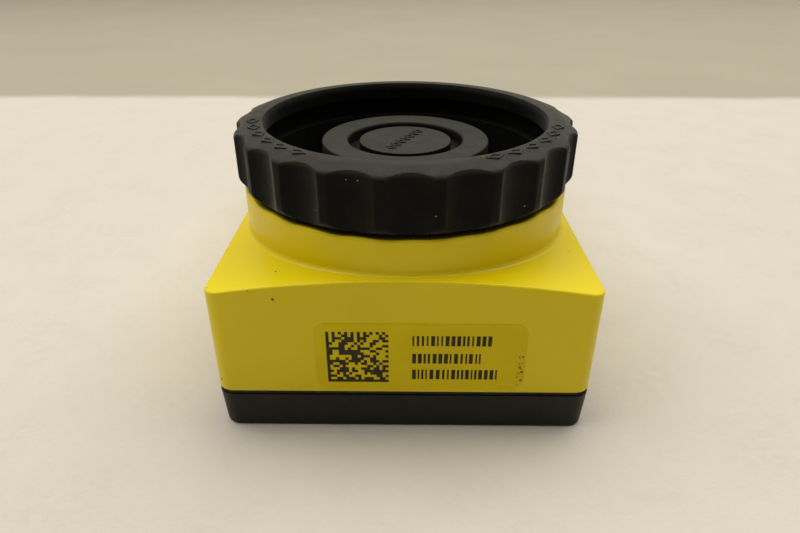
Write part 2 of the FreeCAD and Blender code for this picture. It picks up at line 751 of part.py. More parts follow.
def make_turret():
    """Turned and blackened aluminium: threaded neck, floor, lens seat and a spigot in the throat."""
    body = turn_body("lens_turret", [
        ("light_bore", "spigot_bottom"), ("spigot_radius", "spigot_bottom"), ("spigot_radius", "shoulder_height"),
        ("neck_radius", "shoulder_height"), ("neck_radius", "neck_top"), ("neck_bore", "neck_top"),
        ("neck_bore", "turret_floor_top"), ("mount_boss", "turret_floor_top"), ("mount_boss", "mount_seat"),
        ("mount_bore", "mount_seat"), ("mount_bore", "window_seat"), ("light_bore", "window_seat")])
    turn_groove(body, rectangle("seal_groove_foot", "neck_hole", "seal_groove_height", "seal_groove_top"),
                "seal_groove")
    drill(body, "screw_holes", TURRET_SCREWS, "turret_screw_hole", "turret_floor_top", "turret_floor")
    return keep(body)


def make_turret_seal():
    return keep(turn_body("turret_o_ring", rectangle("seal_groove_foot", "neck_hole", "seal_bottom", "seal_top")))


def make_lens_ring():
    """Moulded ring with thumb flutes: threaded bore, seal slot, and a lip over the neck."""
    body = turn_body("lens_ring", [
        ("ring_bore", "ring_bottom"), ("ring_foot_radius", "ring_bottom"), ("ring_radius", "ring_foot"),
        ("ring_radius", "ring_shoulder"), ("ring_flat_radius", "ring_top"), ("ring_lip_edge", "ring_top"),
        ("ring_lip_radius", "ring_lip_break"), ("ring_lip_radius", "ring_lip_bottom"),
        ("ring_bore", "ring_lip_bottom")])
    slot = rectangle("neck_radius", "seal_slot_radius", "seal_slot_bottom", "seal_slot_top")
    turn_groove(body, slot, "seal_slot")
    sketch = new_sketch(body, "XY_Plane", "flute_circle", "ring_bottom")
    draw_circles(sketch, [("0", "-flute_axis")], "flute_radius")
    flute = add_pocket(body, sketch, "flute", "ring_height", upwards=True)
    pattern = body.newObject("PartDesign::PolarPattern", "flutes")
    pattern.Originals = [flute]
    pattern.Axis = (sketch, ["N_Axis"])
    pattern.Angle = 360
    pattern.Occurrences = int(value("flute_count"))
    bind(pattern, Occurrences="flute_count")
    body.Tip = pattern
    body.Placement.Rotation = FreeCAD.Rotation(FreeCAD.Vector(0, 0, 1), value("ring_phase"))
    body.setExpression("Placement.Rotation.Angle", "Sizes.ring_phase * 1 deg")
    return keep(body)


def make_ring_seal():
    return keep(turn_body("ring_seal", rectangle("ring_seal_inner", "ring_seal_outer",
                                                 "ring_seal_bottom", "ring_seal_top")))


def make_dust_cap():
    """Moulded cap: flange on the lens seat, hollow plug in its bore, sunk ring about a button."""
    body = turn_body("dust_cap", [
        ("0", "cap_underside"), ("cap_plug_bore", "cap_underside"), ("cap_plug_bore", "cap_plug_end"),
        ("cap_plug_radius", "cap_plug_end"), ("cap_plug_radius", "cap_bottom"), ("cap_radius", "cap_bottom"),
        ("cap_radius", "cap_flange_break"), ("cap_flange_edge", "cap_top"), ("cap_groove_radius", "cap_top"),
        ("cap_groove_foot", "cap_groove_bottom"),
        ("cap_button_radius", "cap_groove_bottom"), ("cap_button_radius", "cap_button_break"),
        ("cap_button_edge", "cap_top"), ("0", "cap_top")])
    return keep(body)


def make_window():
    """Cover glass under the lens seat and the ring that holds it down."""
    keep(cylinder("sensor_window", "window_radius", "window_thickness", z="window_seat"))
    keep(turn_body("window_retainer", rectangle("retainer_bore", "retainer_radius", "window_top", "retainer_top")))


def make_sensor():
    keep(block("image_sensor", "sensor_width", "sensor_width", "sensor_thickness",
               "-sensor_half", "-sensor_half", "sensor_bottom"))
    keep(block("sensor_glass", "sensor_glass_width", "sensor_glass_width", "sensor_glass_thickness",
               "-sensor_glass_half", "-sensor_glass_half", "focal_plane"))


def make_boards():
    """Sensor board under the roof, processor board below it, and the parts they carry."""
    outline = rectangle("-board_half", "board_half", "-board_half", "board_half")
    sensor_board = plate_body("sensor_board", outline, "sensor_board_bottom", "board_thickness")
    drill(sensor_board, "holes", SENSOR_BOARD_HOLES, "board_screw_hole", "sensor_bottom", "board_thickness")
    keep(sensor_board)
    outline = rectangle("-board_half", "board_half", "board_front", "end_board_front")
    board = plate_body("processor_board", outline, "board_bottom", "board_thickness")
    drill(board, "holes", SENSOR_BOARD_HOLES + REAR_BOARD_HOLES, "board_screw_hole", "board_top",
          "board_thickness")
    keep(board)
    keep(block("processor_chip", "processor_width", "processor_width", "processor_height",
               "-processor_half", "processor_front", "processor_bottom"))
    keep(block("thermal_pad", "processor_width", "processor_width", "thermal_pad",
               "-processor_half", "processor_front", "pad_bottom"))
    keep(gather("memory_chips", [
        block(f"memory_{side}", "memory_width", "memory_length", "memory_height",
              "memory_" + side, "memory_front", "memory_bottom") for side in ("left", "right")]))
    keep(block("board_link", "link_width", "link_depth", "link_height", "-link_half", "link_front", "board_top"))
    keep(block("connector_board", "end_board_width", "board_thickness", "end_board_height",
               "-end_board_half", "end_board_front", "end_board_low"))


def make_standoffs():
    """Hexagon standoffs between the boards, each with a stud above and a threaded hole below."""
    solids, bores = [], []
    for number, (x, y) in enumerate(SENSOR_BOARD_HOLES):
        solids.append(hexagon(f"pillar_{number}", "standoff_radius", "standoff_length", x, y, "board_top"))
        solids.append(cylinder(f"stud_{number}", "board_screw_radius", "stud_length", x, y, "sensor_board_bottom"))
        bores.append(cylinder(f"pillar_bore_{number}", "board_screw_radius", "board_hole_depth", x, y, "board_top"))
    keep(cut("board_standoffs", fuse("pillars", solids), fuse("pillar_bores", bores)))


def make_screws(label, sites, shank, head, socket):
    """Socket screws at sites; shank, head and socket each give (radius, length, foot level)."""
    solids, sockets = [], []
    for number, (x, y) in enumerate(sites):
        solids.append(cylinder(f"{label}_shank_{number}", shank[0], shank[1], x, y, shank[2]))
        solids.append(cylinder(f"{label}_head_{number}", head[0], head[1], x, y, head[2]))
        sockets.append(hexagon(f"{label}_socket_{number}", socket[0], socket[1], x, y, socket[2]))
    keep(cut(label, fuse(label + "_bodies", solids), fuse(label + "_sockets", sockets)))


def mount_on_end(item, x):
    """Turns a piece built upright so that its Z runs out of the end wall, and sets it on the wall."""
    item.Placement.Rotation = FreeCAD.Rotation(FreeCAD.Vector(1, 0, 0), -90)
    return place(item, x, "end_rear", "plug_height")


def rod(name, radius, length, x, y, z):
    """A cylinder along +Y from the point x, y, z."""
    item = cylinder(name, radius, length, x, y, z)
    item.Placement.Rotation = FreeCAD.Rotation(FreeCAD.Vector(1, 0, 0), -90)
    return item


def make_power_connector():
    """Round screw connector with pins: shell with outside thread, insulator and contacts."""
    x = "-plug_x"
    shell = turn_body("power_shell", [
        ("plug_back_bore", "-plug_tail"), ("plug_tail_radius", "-plug_tail"), ("plug_tail_radius", "plug_seat"),
        ("plug_flange_radius", "plug_seat"), ("plug_flange_radius", "plug_flange_top"),
        ("plug_thread_radius", "plug_flange_top"), ("plug_thread_radius", "plug_reach"),
        ("plug_bore", "plug_reach"), ("plug_bore", "plug_back"), ("plug_back_bore", "plug_back")])
    keep(mount_on_end(shell, x))
    sites = [("0", "0")] + [(f"pin_x_{n}", f"pin_y_{n}") for n in range(int(SIZES["pin_ring_count"]))]
    body = turn_body("power_insert", [
        ("0", "-plug_tail"), ("plug_back_bore", "-plug_tail"), ("plug_back_bore", "plug_back"),
        ("plug_bore", "plug_back"), ("plug_bore", "plug_floor_level"), ("0", "plug_floor_level")])
    drill(body, "pin_holes", sites, "pin_radius", "plug_floor_level", "plug_through")
    keep(mount_on_end(body, x))
    pins = [cylinder(f"pin_{n}", "pin_radius", "plug_pin_length", px, py, "plug_pin_start")
            for n, (px, py) in enumerate(sites)]
    keep(mount_on_end(gather("power_pins", pins), x))


def make_network_connector():
    """Round screw connector with sockets: shell with inside thread, insulator and contacts."""
    x = "plug_x"
    shell = turn_body("network_shell", [
        ("plug_back_bore", "-plug_tail"), ("plug_tail_radius", "-plug_tail"), ("plug_tail_radius", "plug_seat"),
        ("plug_flange_radius", "plug_seat"), ("plug_flange_radius", "plug_flange_top"),
        ("socket_shell_radius", "plug_flange_top"), ("socket_shell_radius", "socket_shell_reach"),
        ("socket_shell_bore", "socket_shell_reach"), ("socket_shell_bore", "plug_flange_top"),
        ("plug_bore", "plug_flange_top"), ("plug_bore", "plug_back"), ("plug_back_bore", "plug_back")])
    keep(mount_on_end(shell, x))
    sites = [(f"socket_x_{n}", f"socket_y_{n}") for n in range(int(SIZES["socket_count"]))]
    body = turn_body("network_insert", [
        ("0", "-plug_tail"), ("plug_back_bore", "-plug_tail"), ("plug_back_bore", "plug_back"),
        ("plug_bore", "plug_back"), ("plug_bore", "plug_flange_top"), ("socket_core_radius", "plug_flange_top"),
        ("socket_core_radius", "socket_tip"), ("0", "socket_tip")])
    drill(body, "contact_holes", sites, "socket_radius", "socket_tip", "socket_through")
    keep(mount_on_end(body, x))
    rods = [cylinder(f"contact_{n}", "socket_radius", "socket_pin_length", px, py, "plug_pin_start")
            for n, (px, py) in enumerate(sites)]
    bores = [cylinder(f"contact_bore_{n}", "socket_bore", "socket_bore_depth", px, py, "socket_bore_start")
             for n, (px, py) in enumerate(sites)]
    keep(mount_on_end(cut("network_sockets", fuse("contacts", rods), fuse("contact_bores", bores)), x))


def make_connector_fixings():
    """Sealing washers outside the end wall and nuts inside it."""
    washers, nuts = [], []
    for side, (x, _) in zip(("power", "network"), PLUGS):
        washer = turn_body(side + "_washer", rectangle("washer_bore", "washer_radius", "0", "washer_thickness"))
        washers.append(mount_on_end(washer, x))
        nut = cut(side + "_nut", hexagon(side + "_nut_blank", "nut_circle", "nut_height", z="nut_start"),
                  cylinder(side + "_nut_bore", "plug_tail_radius", "nut_height", z="nut_start"))
        nuts.append(mount_on_end(nut, x))
    keep(gather("connector_washers", washers))
    keep(gather("connector_nuts", nuts))


def make_lamps():
    """Light pipes in the end wall, and the lamps behind them on the connector board."""
    pipes, lamps = [], []
    for number, (x, z) in enumerate(LAMPS):
        pipes.append(rod(f"pipe_{number}", "lamp_radius", "lamp_length", x, "lamp_start", z))
        lamps.append(block(f"lamp_{number}", "led_width", "led_height", "led_width",
                           "-led_half", "end_board_rear", f"led_foot_{number}"))
    keep(gather("light_pipes", pipes))
    keep(gather("status_lamps", lamps))


def make_label():
    body = new_body("label")
    sketch = new_sketch(body, "XZ_Plane", "outline", "axis_to_end")
    draw_outline(sketch, rectangle("label_left", "label_right", "label_low", "label_high"))
    add_pad(body, sketch, "film", "label_film")
    film = value("label_film")
    round_edges(body, "corners", "label_corner",
                lambda edge: edge.BoundBox.YLength > film - NEAR and edge.Length < film + NEAR)
    return keep(body)


make_housing()
make_rear_cover()
make_gasket()
make_turret()
make_turret_seal()
make_lens_ring()
make_ring_seal()
make_dust_cap()
make_window()
make_sensor()
make_boards()
make_standoffs()
make_screws("cover_screws", COVER_SCREWS, ("screw_radius", "screw_length", "screw_sink"),
            ("screw_head_radius", "screw_head_height", "screw_head_depth"),
            ("screw_socket_circle", "screw_socket_depth", "screw_head_depth"))
make_screws("turret_screws", TURRET_SCREWS, ("turret_screw_radius", "turret_screw_length", "turret_screw_tip"),
            ("turret_screw_head", "turret_screw_head_height", "turret_floor_top"),
            ("turret_socket_circle", "turret_socket_depth", "turret_socket_foot"))
make_screws("board_screws", SENSOR_BOARD_HOLES + REAR_BOARD_HOLES,
            ("board_screw_radius", "board_screw_length", "board_bottom"),
            ("board_screw_head", "board_screw_head_height", "board_screw_bottom"),
            ("board_socket_circle", "board_socket_depth", "board_screw_bottom"))
make_power_connector()
make_network_connector()
make_connector_fixings()
make_lamps()
make_label()

doc.recompute()
for item in doc.Objects:
    if "Invalid" in item.State or "Error" in item.State:
        raise RuntimeError(f"{item.Label} failed: {item.State}")
for item in nodes:
    if item.Shape.isNull() or not item.Shape.isValid() or not item.Shape.Solids:
        raise RuntimeError(item.Label + " has no sound shape")

os.makedirs("parts", exist_ok=True)
for item in nodes:
    item.Shape.exportStep(f"parts/{item.Label}.step")
    box = item.Shape.BoundBox
    print(f"{item.Label}: {len(item.Shape.Solids)} solids, {item.Shape.Volume:.1f} mm3, "
          f"x {box.XMin:.2f}..{box.XMax:.2f}, y {box.YMin:.2f}..{box.YMax:.2f}, z {box.ZMin:.2f}..{box.ZMax:.2f}")
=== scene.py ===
import math
import random

import bmesh
import bpy
from bpy.props import FloatProperty, FloatVectorProperty, IntProperty, PointerProperty
from mathutils import Matrix, Vector


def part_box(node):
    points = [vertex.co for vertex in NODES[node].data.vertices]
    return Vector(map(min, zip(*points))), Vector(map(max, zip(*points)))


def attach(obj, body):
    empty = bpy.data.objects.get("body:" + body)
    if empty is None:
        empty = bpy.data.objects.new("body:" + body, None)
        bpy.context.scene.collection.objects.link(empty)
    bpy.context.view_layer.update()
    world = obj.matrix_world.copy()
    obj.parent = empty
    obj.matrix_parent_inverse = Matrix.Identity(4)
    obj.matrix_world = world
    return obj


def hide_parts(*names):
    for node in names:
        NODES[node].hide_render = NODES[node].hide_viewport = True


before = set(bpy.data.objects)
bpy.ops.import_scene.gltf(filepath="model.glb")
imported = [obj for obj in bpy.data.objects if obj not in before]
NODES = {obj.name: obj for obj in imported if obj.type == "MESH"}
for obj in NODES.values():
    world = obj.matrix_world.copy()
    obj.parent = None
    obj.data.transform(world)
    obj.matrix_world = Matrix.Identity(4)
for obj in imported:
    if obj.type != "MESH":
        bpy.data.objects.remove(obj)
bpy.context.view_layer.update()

bl_info = {
    "name": "Vision Camera Finish",
    "version": (1, 0, 0),
    "blender": (4, 5, 0),
    "location": "3D View > Sidebar > Vision Camera",
    "description": "Finishes a machine vision camera: painted casting, moulded ring, cap, label and connectors",
    "category": "Object",
}

MM = 0.001


def srgb(code):
    """A colour written as #RRGGBB, turned to linear light."""
    parts = [int(code[at:at + 2], 16) / 255 for at in (1, 3, 5)]
    return tuple(part / 12.92 if part <= 0.04045 else ((part + 0.055) / 1.055) ** 2.4 for part in parts)


def rgba(colour):
    return (*colour, 1.0)


def per_mm(size):
    """The texture scale at which a pattern repeats about every size millimetres."""
    return 1 / (size * MM)


def box_mm(node):
    low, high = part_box(node)
    return low / MM, high / MM


RING_HIGH = box_mm("lens_ring")[1]
SEAL_HIGH = box_mm("ring_seal")[1]
CAP_LOW, CAP_HIGH = box_mm("dust_cap")
LABEL_LOW, LABEL_HIGH = box_mm("label")

# Places and sizes in millimetres. Where the shown shape stands off the solid's, the comment says so.
COLLAR_FOOT = 32.0                  # the housing above this height is the collar's rim
COLLAR_LIFT = 1.35                  # the shown rim stands this much higher than the solid's

RING_RISE = 0.08                    # of the shown ring's top over the solid's
RING_FOOT = 35.2                    # higher than the solid's foot
RING_BORE = 27.28
RING_LIP, RING_LIP_BOTTOM = 25.1, 42.1
RING_FOOT_CHAMFER = (1.3, 1.1)      # in, up
RING_CROWN = (2.7, 0.95)            # in, down
RING_ROUNDS = ((0.1, 2), (0.6, 4), (0.7, 8), (0.8, 6), (0.12, 2))   # radius, segments
SEAL_PLAY = (0.06, 0.15)            # beside the seal, over it
STEPS_PER_FLUTE = 36
FLUTE_REACH = 1.8                   # nothing deeper under the skin is drawn in by a flute
FLUTE_EASE = 0.1

MARK_RADIUS = 26.65
MARK_SPAN = (2.1, 3.3, 0.34)        # width, height, stroke
MARK_SINK = 0.5
MARKS_IN_GROUP = 6
MARK_GROUPS = (-39.0, 212.0)        # degrees about the axis
MARK_STEP = 8.6                     # degrees

CAP_RISE = 0.35                     # the shown flange is this much higher than the solid's
CAP_SEAT, CAP_WEB = 1.5, 2.8        # depths under the solid's top and under the flange
CAP_PLUG, CAP_BORE = 12.18, 10.88
CAP_ROUNDS = (0.28, 0.28, 0.6, 0.1, 0.1, 0.15)
GROOVE_INNER, GROOVE_OUTER, GROOVE_DEPTH = 8.3, 10.3, 2.2
CAP_MARKS = 7
CAP_MARK_SPAN = (1.7, 2.1, 0.26)
CAP_MARK_SPACING = 1.8
CAP_MARK_SINK = 0.1
CAP_MARK_TURN = 64.0                # degrees

LABEL_CORNER = 2.0
LABEL_EDGE = 0.03
FILM_SHARE = 0.8                    # of the label's thickness; the print takes the rest
CODE_MODULES = 20
CODE_INSET = (1.85, 1.5)            # from the label's left and top
PRINT_LEFT = 15.4
PRINT_ROWS = ((2.2, 12.8), (5.6, 11.0), (8.75, 14.1))   # down from the top, length
PRINT_HEIGHT = 1.9
BAR_WIDTHS, BAR_GAPS, BAR_LEAST = (0.26, 0.36, 0.6), (0.3, 0.42), 0.25

SHELL_TAIL = 6.6                    # behind the face that seats on the housing
SHELL_BORE, CONTACT_BORE, SHELL_THREAD = 4.1, 4.9, 6.0
SHELL_STEP, FLANGE_TOP = 0.8, 2.6
CONTACT_SEAT = -5.0
THREAD_STEPS = 64

# Places and sizes of the stage, in metres.
FLOOR_SIZE = 1.2
LAMP_SIZE = (2.4, 0.9)
LAMP_PLACE = (-0.05, 0.23, 1.0)
LAMP_AIM = (0, 0.02, 0.02)


# ---------------------------------------------------------------- sizes and colours that a user changes

class VisionCameraSizes(bpy.types.PropertyGroup):
    flute_count: IntProperty(name="Flutes", description="Thumb flutes round the lens ring", default=22, min=3)
    flute_depth: FloatProperty(name="Flute depth", description="Depth of a flute at its middle",
                               default=1.35 * MM, unit="LENGTH")
    flute_radius: FloatProperty(name="Flute radius", description="Radius of the cutter that a flute follows",
                                default=6.0 * MM, unit="LENGTH")
    flute_phase: FloatProperty(name="Flute phase", description="Turn of the flutes about the optical axis",
                               default=math.radians(1.6), unit="ROTATION")
    mark_height: FloatProperty(name="Mark height", description="How far the marks stand out of the moulding",
                               default=0.16 * MM, unit="LENGTH")
    code_width: FloatProperty(name="Code width", description="Side of the printed square of modules",
                              default=9.8 * MM, unit="LENGTH")
    thread_pitch: FloatProperty(name="Connector pitch", description="Pitch of the connector threads",
                                default=1.0 * MM, unit="LENGTH")


class VisionCameraColours(bpy.types.PropertyGroup):
    paint: FloatVectorProperty(name="Housing", description="Powder coat of the housing", subtype="COLOR",
                               default=srgb("#F2DA00"), min=0, max=1)
    cover: FloatVectorProperty(name="Rear cover", description="Powder coat of the rear cover", subtype="COLOR",
                               default=srgb("#22211C"), min=0, max=1)
    ring: FloatVectorProperty(name="Lens ring", description="Moulded nylon of the lens ring", subtype="COLOR",
                              default=srgb("#0E0E0C"), min=0, max=1)
    cap: FloatVectorProperty(name="Dust cap", description="Moulded polyethylene of the cap", subtype="COLOR",
                             default=srgb("#2D2D28"), min=0, max=1)
    film: FloatVectorProperty(name="Label film", description="Tinted polyester of the label", subtype="COLOR",
                              default=srgb("#EBD300"), min=0, max=1)
    ink: FloatVectorProperty(name="Label ink", description="Thermal print of the label", subtype="COLOR",
                             default=srgb("#2E2606"), min=0, max=1)
    floor: FloatVectorProperty(name="Floor", description="Pale sheet under the camera", subtype="COLOR",
                               default=srgb("#D9D1C5"), min=0, max=1)
    backdrop: FloatVectorProperty(name="Backdrop", description="Duller sheet further back", subtype="COLOR",
                                  default=srgb("#B2AA98"), min=0, max=1)


class VisionCameraView(bpy.types.PropertyGroup):
    lens: FloatProperty(name="Lens", description="Focal length on a sensor 36 mm wide, in millimetres",
                        default=27.69, min=1)
    place: FloatVectorProperty(name="Place", description="Where the view is taken from", subtype="TRANSLATION",
                               default=(0.3 * MM, -109.22 * MM, 74.2 * MM))
    pitch: FloatProperty(name="Pitch", description="How far the view looks down", unit="ROTATION",
                         default=math.radians(28.8))
    yaw: FloatProperty(name="Yaw", description="Turn of the view to the right", unit="ROTATION",
                       default=math.radians(-0.65))
    lamp_power: FloatProperty(name="Lamp power", description="Power of the soft box overhead, in watts",
                              default=20.5, min=0)
    sky: FloatProperty(name="Room light", description="Strength of the light from all round",
                       default=0.1, min=0)


# ---------------------------------------------------------------- materials

def add_node(tree, kind, settings=None, inputs=None):
    """Adds a shader node with its settings, and sets or links its inputs."""
    node = tree.nodes.new("ShaderNode" + kind)
    for name, setting in (settings or {}).items():
        setattr(node, name, setting)
    for name, source in (inputs or {}).items():
        if isinstance(source, bpy.types.NodeSocket):
            tree.links.new(source, node.inputs[name])
        else:
            node.inputs[name].default_value = source
    return node


def new_material(name):
    """An empty node material with its shader and the piece's own coordinates."""
    material = bpy.data.materials.new(name)
    material.use_nodes = True
    tree = material.node_tree
    tree.nodes.clear()
    shader = add_node(tree, "BsdfPrincipled")
    add_node(tree, "OutputMaterial", inputs={"Surface": shader.outputs["BSDF"]})
    place = add_node(tree, "TexCoord").outputs["Object"]
    return material, tree, shader, place


def set_shader(tree, shader, **values):
    """Sets or links the shader's own sockets; an underscore in a name stands for a space."""
    for name, source in values.items():
        socket = shader.inputs[name.replace("_", " ")]
        if isinstance(source, bpy.types.NodeSocket):
            tree.links.new(source, socket)
        else:
            socket.default_value = source


def ramp(tree, value, start, end, low=0.0, high=1.0, kind="SMOOTHSTEP"):
    """Runs from low to high while value runs from start to end."""
    span = add_node(tree, "MapRange", {"interpolation_type": kind},
                    {"Value": value, "From Min": start, "From Max": end, "To Min": low, "To Max": high})
    return span.outputs["Result"]


def combine(tree, operation, first, second):
    """Two values joined by an operation of the Math node."""
    return add_node(tree, "Math", {"operation": operation}, {0: first, 1: second}).outputs["Value"]


def cloudy(tree, place, size_mm, low=0.0, high=1.0, detail=3.0):
    """A soft noise of the given size that runs from low to high."""
    noise = add_node(tree, "TexNoise", inputs={"Vector": place, "Scale": per_mm(size_mm), "Detail": detail})
    return ramp(tree, noise.outputs["Fac"], 0.3, 0.7, low, high)


def specks(tree, place, spacing_mm, radius_mm, share):
    """1 inside scattered dots, one to a cell of spacing_mm in the given share of the cells."""
    cells = add_node(tree, "TexVoronoi",
                     inputs={"Vector": place, "Scale": per_mm(spacing_mm), "Randomness": 1.0})
    edge = radius_mm / spacing_mm
    near = ramp(tree, cells.outputs["Distance"], edge, edge * 0.5)
    draw = add_node(tree, "SeparateColor", inputs={"Color": cells.outputs["Color"]})
    return combine(tree, "MULTIPLY", near, combine(tree, "LESS_THAN", draw.outputs["Red"], share))


def blend_colours(tree, share, first, second):
    """First where share is 0, second where it is 1."""
    mixed = add_node(tree, "Mix", {"data_type": "RGBA"})
    for at, source in ((0, share), (6, first), (7, second)):
        if isinstance(source, bpy.types.NodeSocket):
            tree.links.new(source, mixed.inputs[at])
        else:
            mixed.inputs[at].default_value = source if at == 0 else rgba(source)
    return mixed.outputs[2]


def relief(tree, height, depth_mm, normal=None):
    """A bump of the given depth in millimetres."""
    inputs = {"Height": height, "Distance": depth_mm * MM, "Strength": 1.0}
    if normal is not None:
        inputs["Normal"] = normal
    return add_node(tree, "Bump", inputs=inputs).outputs["Normal"]


def grain(tree, place, size_mm, depth_mm):
    """The bump of an even, fine texture."""
    return relief(tree, cloudy(tree, place, size_mm), depth_mm)


def tint(colour, factor):
    return tuple(min(1.0, part * factor) for part in colour)


def mottled(name, patch_mm, shades, rough, dots=None, grained=None, **values):
    """A material of two shades in soft patches, as the plainer finishes are.

    rough is a patch size and the least and most roughness; dots is the spacing, radius, share and
    colour of its specks; grained is the size and depth of its texture.
    """
    material, tree, shader, place = new_material(name)
    base = blend_colours(tree, cloudy(tree, place, patch_mm), *map(srgb, shades))
    if dots:
        base = blend_colours(tree, specks(tree, place, *dots[:3]), base, srgb(dots[3]))
    if grained:
        values["Normal"] = grain(tree, place, *grained)
    set_shader(tree, shader, Base_Color=base, Roughness=cloudy(tree, place, *rough), **values)
    return material


def powder_coat_yellow(colours):
    # Polyester powder coat baked on a die-casting: satin, a faint orange peel about 1 mm across,
    # a colour that hardly varies, and a few dark specks of dirt that sit in it.
    material, tree, shader, place = new_material("powder_coat_yellow")
    paint = tuple(colours.paint)
    patches = cloudy(tree, place, 22.0)
    base = blend_colours(tree, patches, tint(paint, 0.965), tint(paint, 1.02))
    grime = specks(tree, place, 3.4, 0.28, 0.4)
    base = blend_colours(tree, grime, base, srgb("#4A3C10"))
    dust = specks(tree, place, 3.1, 0.1, 0.35)
    base = blend_colours(tree, dust, base, srgb("#8E7A1C"))
    peel = relief(tree, cloudy(tree, place, 1.1, detail=1.0), 0.007)
    normal = relief(tree, cloudy(tree, place, 0.28), 0.002, peel)
    set_shader(tree, shader, Base_Color=base, Roughness=cloudy(tree, place, 6.0, 0.34, 0.44), Normal=normal,
               Specular_IOR_Level=0.25, IOR=1.5, Coat_Weight=0.12, Coat_Roughness=0.3)
    return material


def powder_coat_black(colours):
    # The same coat in black on the rear cover: a finer, denser texture that breaks up its sheen.
    material, tree, shader, place = new_material("powder_coat_black")
    paint = tuple(colours.cover)
    base = blend_colours(tree, cloudy(tree, place, 5.0), tint(paint, 0.85), tint(paint, 1.2))
    base = blend_colours(tree, specks(tree, place, 4.5, 0.1, 0.3), base, srgb("#6A665A"))
    set_shader(tree, shader, Base_Color=base, Roughness=cloudy(tree, place, 4.0, 0.42, 0.55),
               Normal=grain(tree, place, 0.35, 0.006), IOR=1.5, Specular_IOR_Level=0.18)
    return material


def moulded_nylon_black(colours):
    # Glass-filled nylon, moulded in an eroded tool: matt and even, with pale lint in its corners and
    # a slightly greyed skin where fingers turn it. Its top is painted a lighter grey: a painted sheen.
    material, tree, shader, place = new_material("moulded_nylon_black")
    skin = tuple(colours.ring)
    base = blend_colours(tree, cloudy(tree, place, 9.0), tint(skin, 0.85), tint(skin, 1.25))
    level = add_node(tree, "SeparateXYZ", inputs={"Vector": place}).outputs["Z"]
    # Painted sheen: the top of the ring is painted a lighter grey, standing in for the light its top face
    # catches.
    painted_top_sheen = ramp(tree, level, (RING_HIGH.z - 1.4) * MM, (RING_HIGH.z - 0.4) * MM)
    base = blend_colours(tree, painted_top_sheen, base, srgb("#3A3933"))
    handled = cloudy(tree, place, 3.0, high=0.35, detail=5.0)
    base = blend_colours(tree, handled, base, srgb("#1C1C19"))
    base = blend_colours(tree, specks(tree, place, 2.2, 0.12, 0.35), base, srgb("#C4C2B2"))
    base = blend_colours(tree, specks(tree, place, 1.3, 0.06, 0.2), base, srgb("#6E6D63"))
    set_shader(tree, shader, Base_Color=base, Roughness=cloudy(tree, place, 2.4, 0.40, 0.52),
               Normal=grain(tree, place, 0.3, 0.008), IOR=1.53, Specular_IOR_Level=0.06,
               Sheen_Weight=0.2, Sheen_Roughness=0.3)
    return material


def moulded_polyethylene_dark(colours):
    # Polyethylene cap: waxy, softly scattering, with fine turning marks of its tool about the axis. Its sunk
    # groove is painted near-black: painted shade in the recess.
    material, tree, shader, place = new_material("moulded_polyethylene_dark")
    skin = tuple(colours.cap)
    base = blend_colours(tree, cloudy(tree, place, 4.0), tint(skin, 0.9), tint(skin, 1.12))
    base = blend_colours(tree, specks(tree, place, 2.4, 0.08, 0.25), base, srgb("#8C897C"))
    flat = add_node(tree, "VectorMath", {"operation": "MULTIPLY"}, {0: place, 1: (1, 1, 0)})
    radius = add_node(tree, "VectorMath", {"operation": "LENGTH"}, {0: flat.outputs["Vector"]}).outputs["Value"]
    # Painted shade: the sunk groove about the button is painted near-black, for the shade that falls in it.
    past_button = ramp(tree, radius, GROOVE_INNER * MM, (GROOVE_INNER - 0.1) * MM, 1.0, 0.0)
    before_flange = ramp(tree, radius, (GROOVE_OUTER - 0.1) * MM, (GROOVE_OUTER + 0.4) * MM, 1.0, 0.0)
    groove = combine(tree, "MULTIPLY", past_button, before_flange)
    base = blend_colours(tree, groove, base, srgb("#0C0C0A"))
    rings = add_node(tree, "TexWave", {"wave_type": "RINGS", "rings_direction": "Z", "wave_profile": "SIN"},
                     {"Vector": place, "Scale": per_mm(0.45) / 20, "Distortion": 0.4})
    tooled = relief(tree, rings.outputs["Fac"], 0.0012)
    normal = relief(tree, cloudy(tree, place, 0.3), 0.004, tooled)
    set_shader(tree, shader, Base_Color=base, Roughness=cloudy(tree, place, 3.0, 0.42, 0.54), Normal=normal,
               IOR=1.51, Specular_IOR_Level=0.12)
    return material


def polyester_film(colours):
    # Polyester label stock printed yellow: glossier than the coat under it and a little deeper in colour,
    # with scuffs that have darkened along its free end.
    material, tree, shader, place = new_material("polyester_film")
    film = tuple(colours.film)
    base = blend_colours(tree, cloudy(tree, place, 8.0), tint(film, 0.94), tint(film, 1.03))
    end = add_node(tree, "SeparateXYZ", inputs={"Vector": place})
    edge = ramp(tree, end.outputs["X"], (LABEL_HIGH.x - 1.4) * MM, (LABEL_HIGH.x - 0.5) * MM, kind="LINEAR")
    lower = ramp(tree, end.outputs["Z"], (LABEL_LOW.z + 8.0) * MM, (LABEL_LOW.z + 6.5) * MM, kind="LINEAR")
    worn = combine(tree, "MULTIPLY", specks(tree, place, 0.55, 0.24, 0.6), edge)
    worn = combine(tree, "MULTIPLY", worn, lower)
    base = blend_colours(tree, worn, base, srgb("#33290A"))
    set_shader(tree, shader, Base_Color=base, Roughness=cloudy(tree, place, 5.0, 0.26, 0.36),
               Normal=grain(tree, place, 3.0, 0.004), IOR=1.57, Specular_IOR_Level=0.12)
    return material


def thermal_ink(colours):
    # Resin ribbon ink: brown-black, dull, with pinholes where it missed the film.
    material, tree, shader, place = new_material("thermal_ink")
    ink = tuple(colours.ink)
    holes = specks(tree, place, 0.5, 0.07, 0.3)
    base = blend_colours(tree, cloudy(tree, place, 1.5), tint(ink, 0.8), tint(ink, 1.3))
    base = blend_colours(tree, holes, base, tuple(colours.film))
    set_shader(tree, shader, Base_Color=base, Roughness=cloudy(tree, place, 1.0, 0.4, 0.55), IOR=1.5,
               Specular_IOR_Level=0.25)
    return material


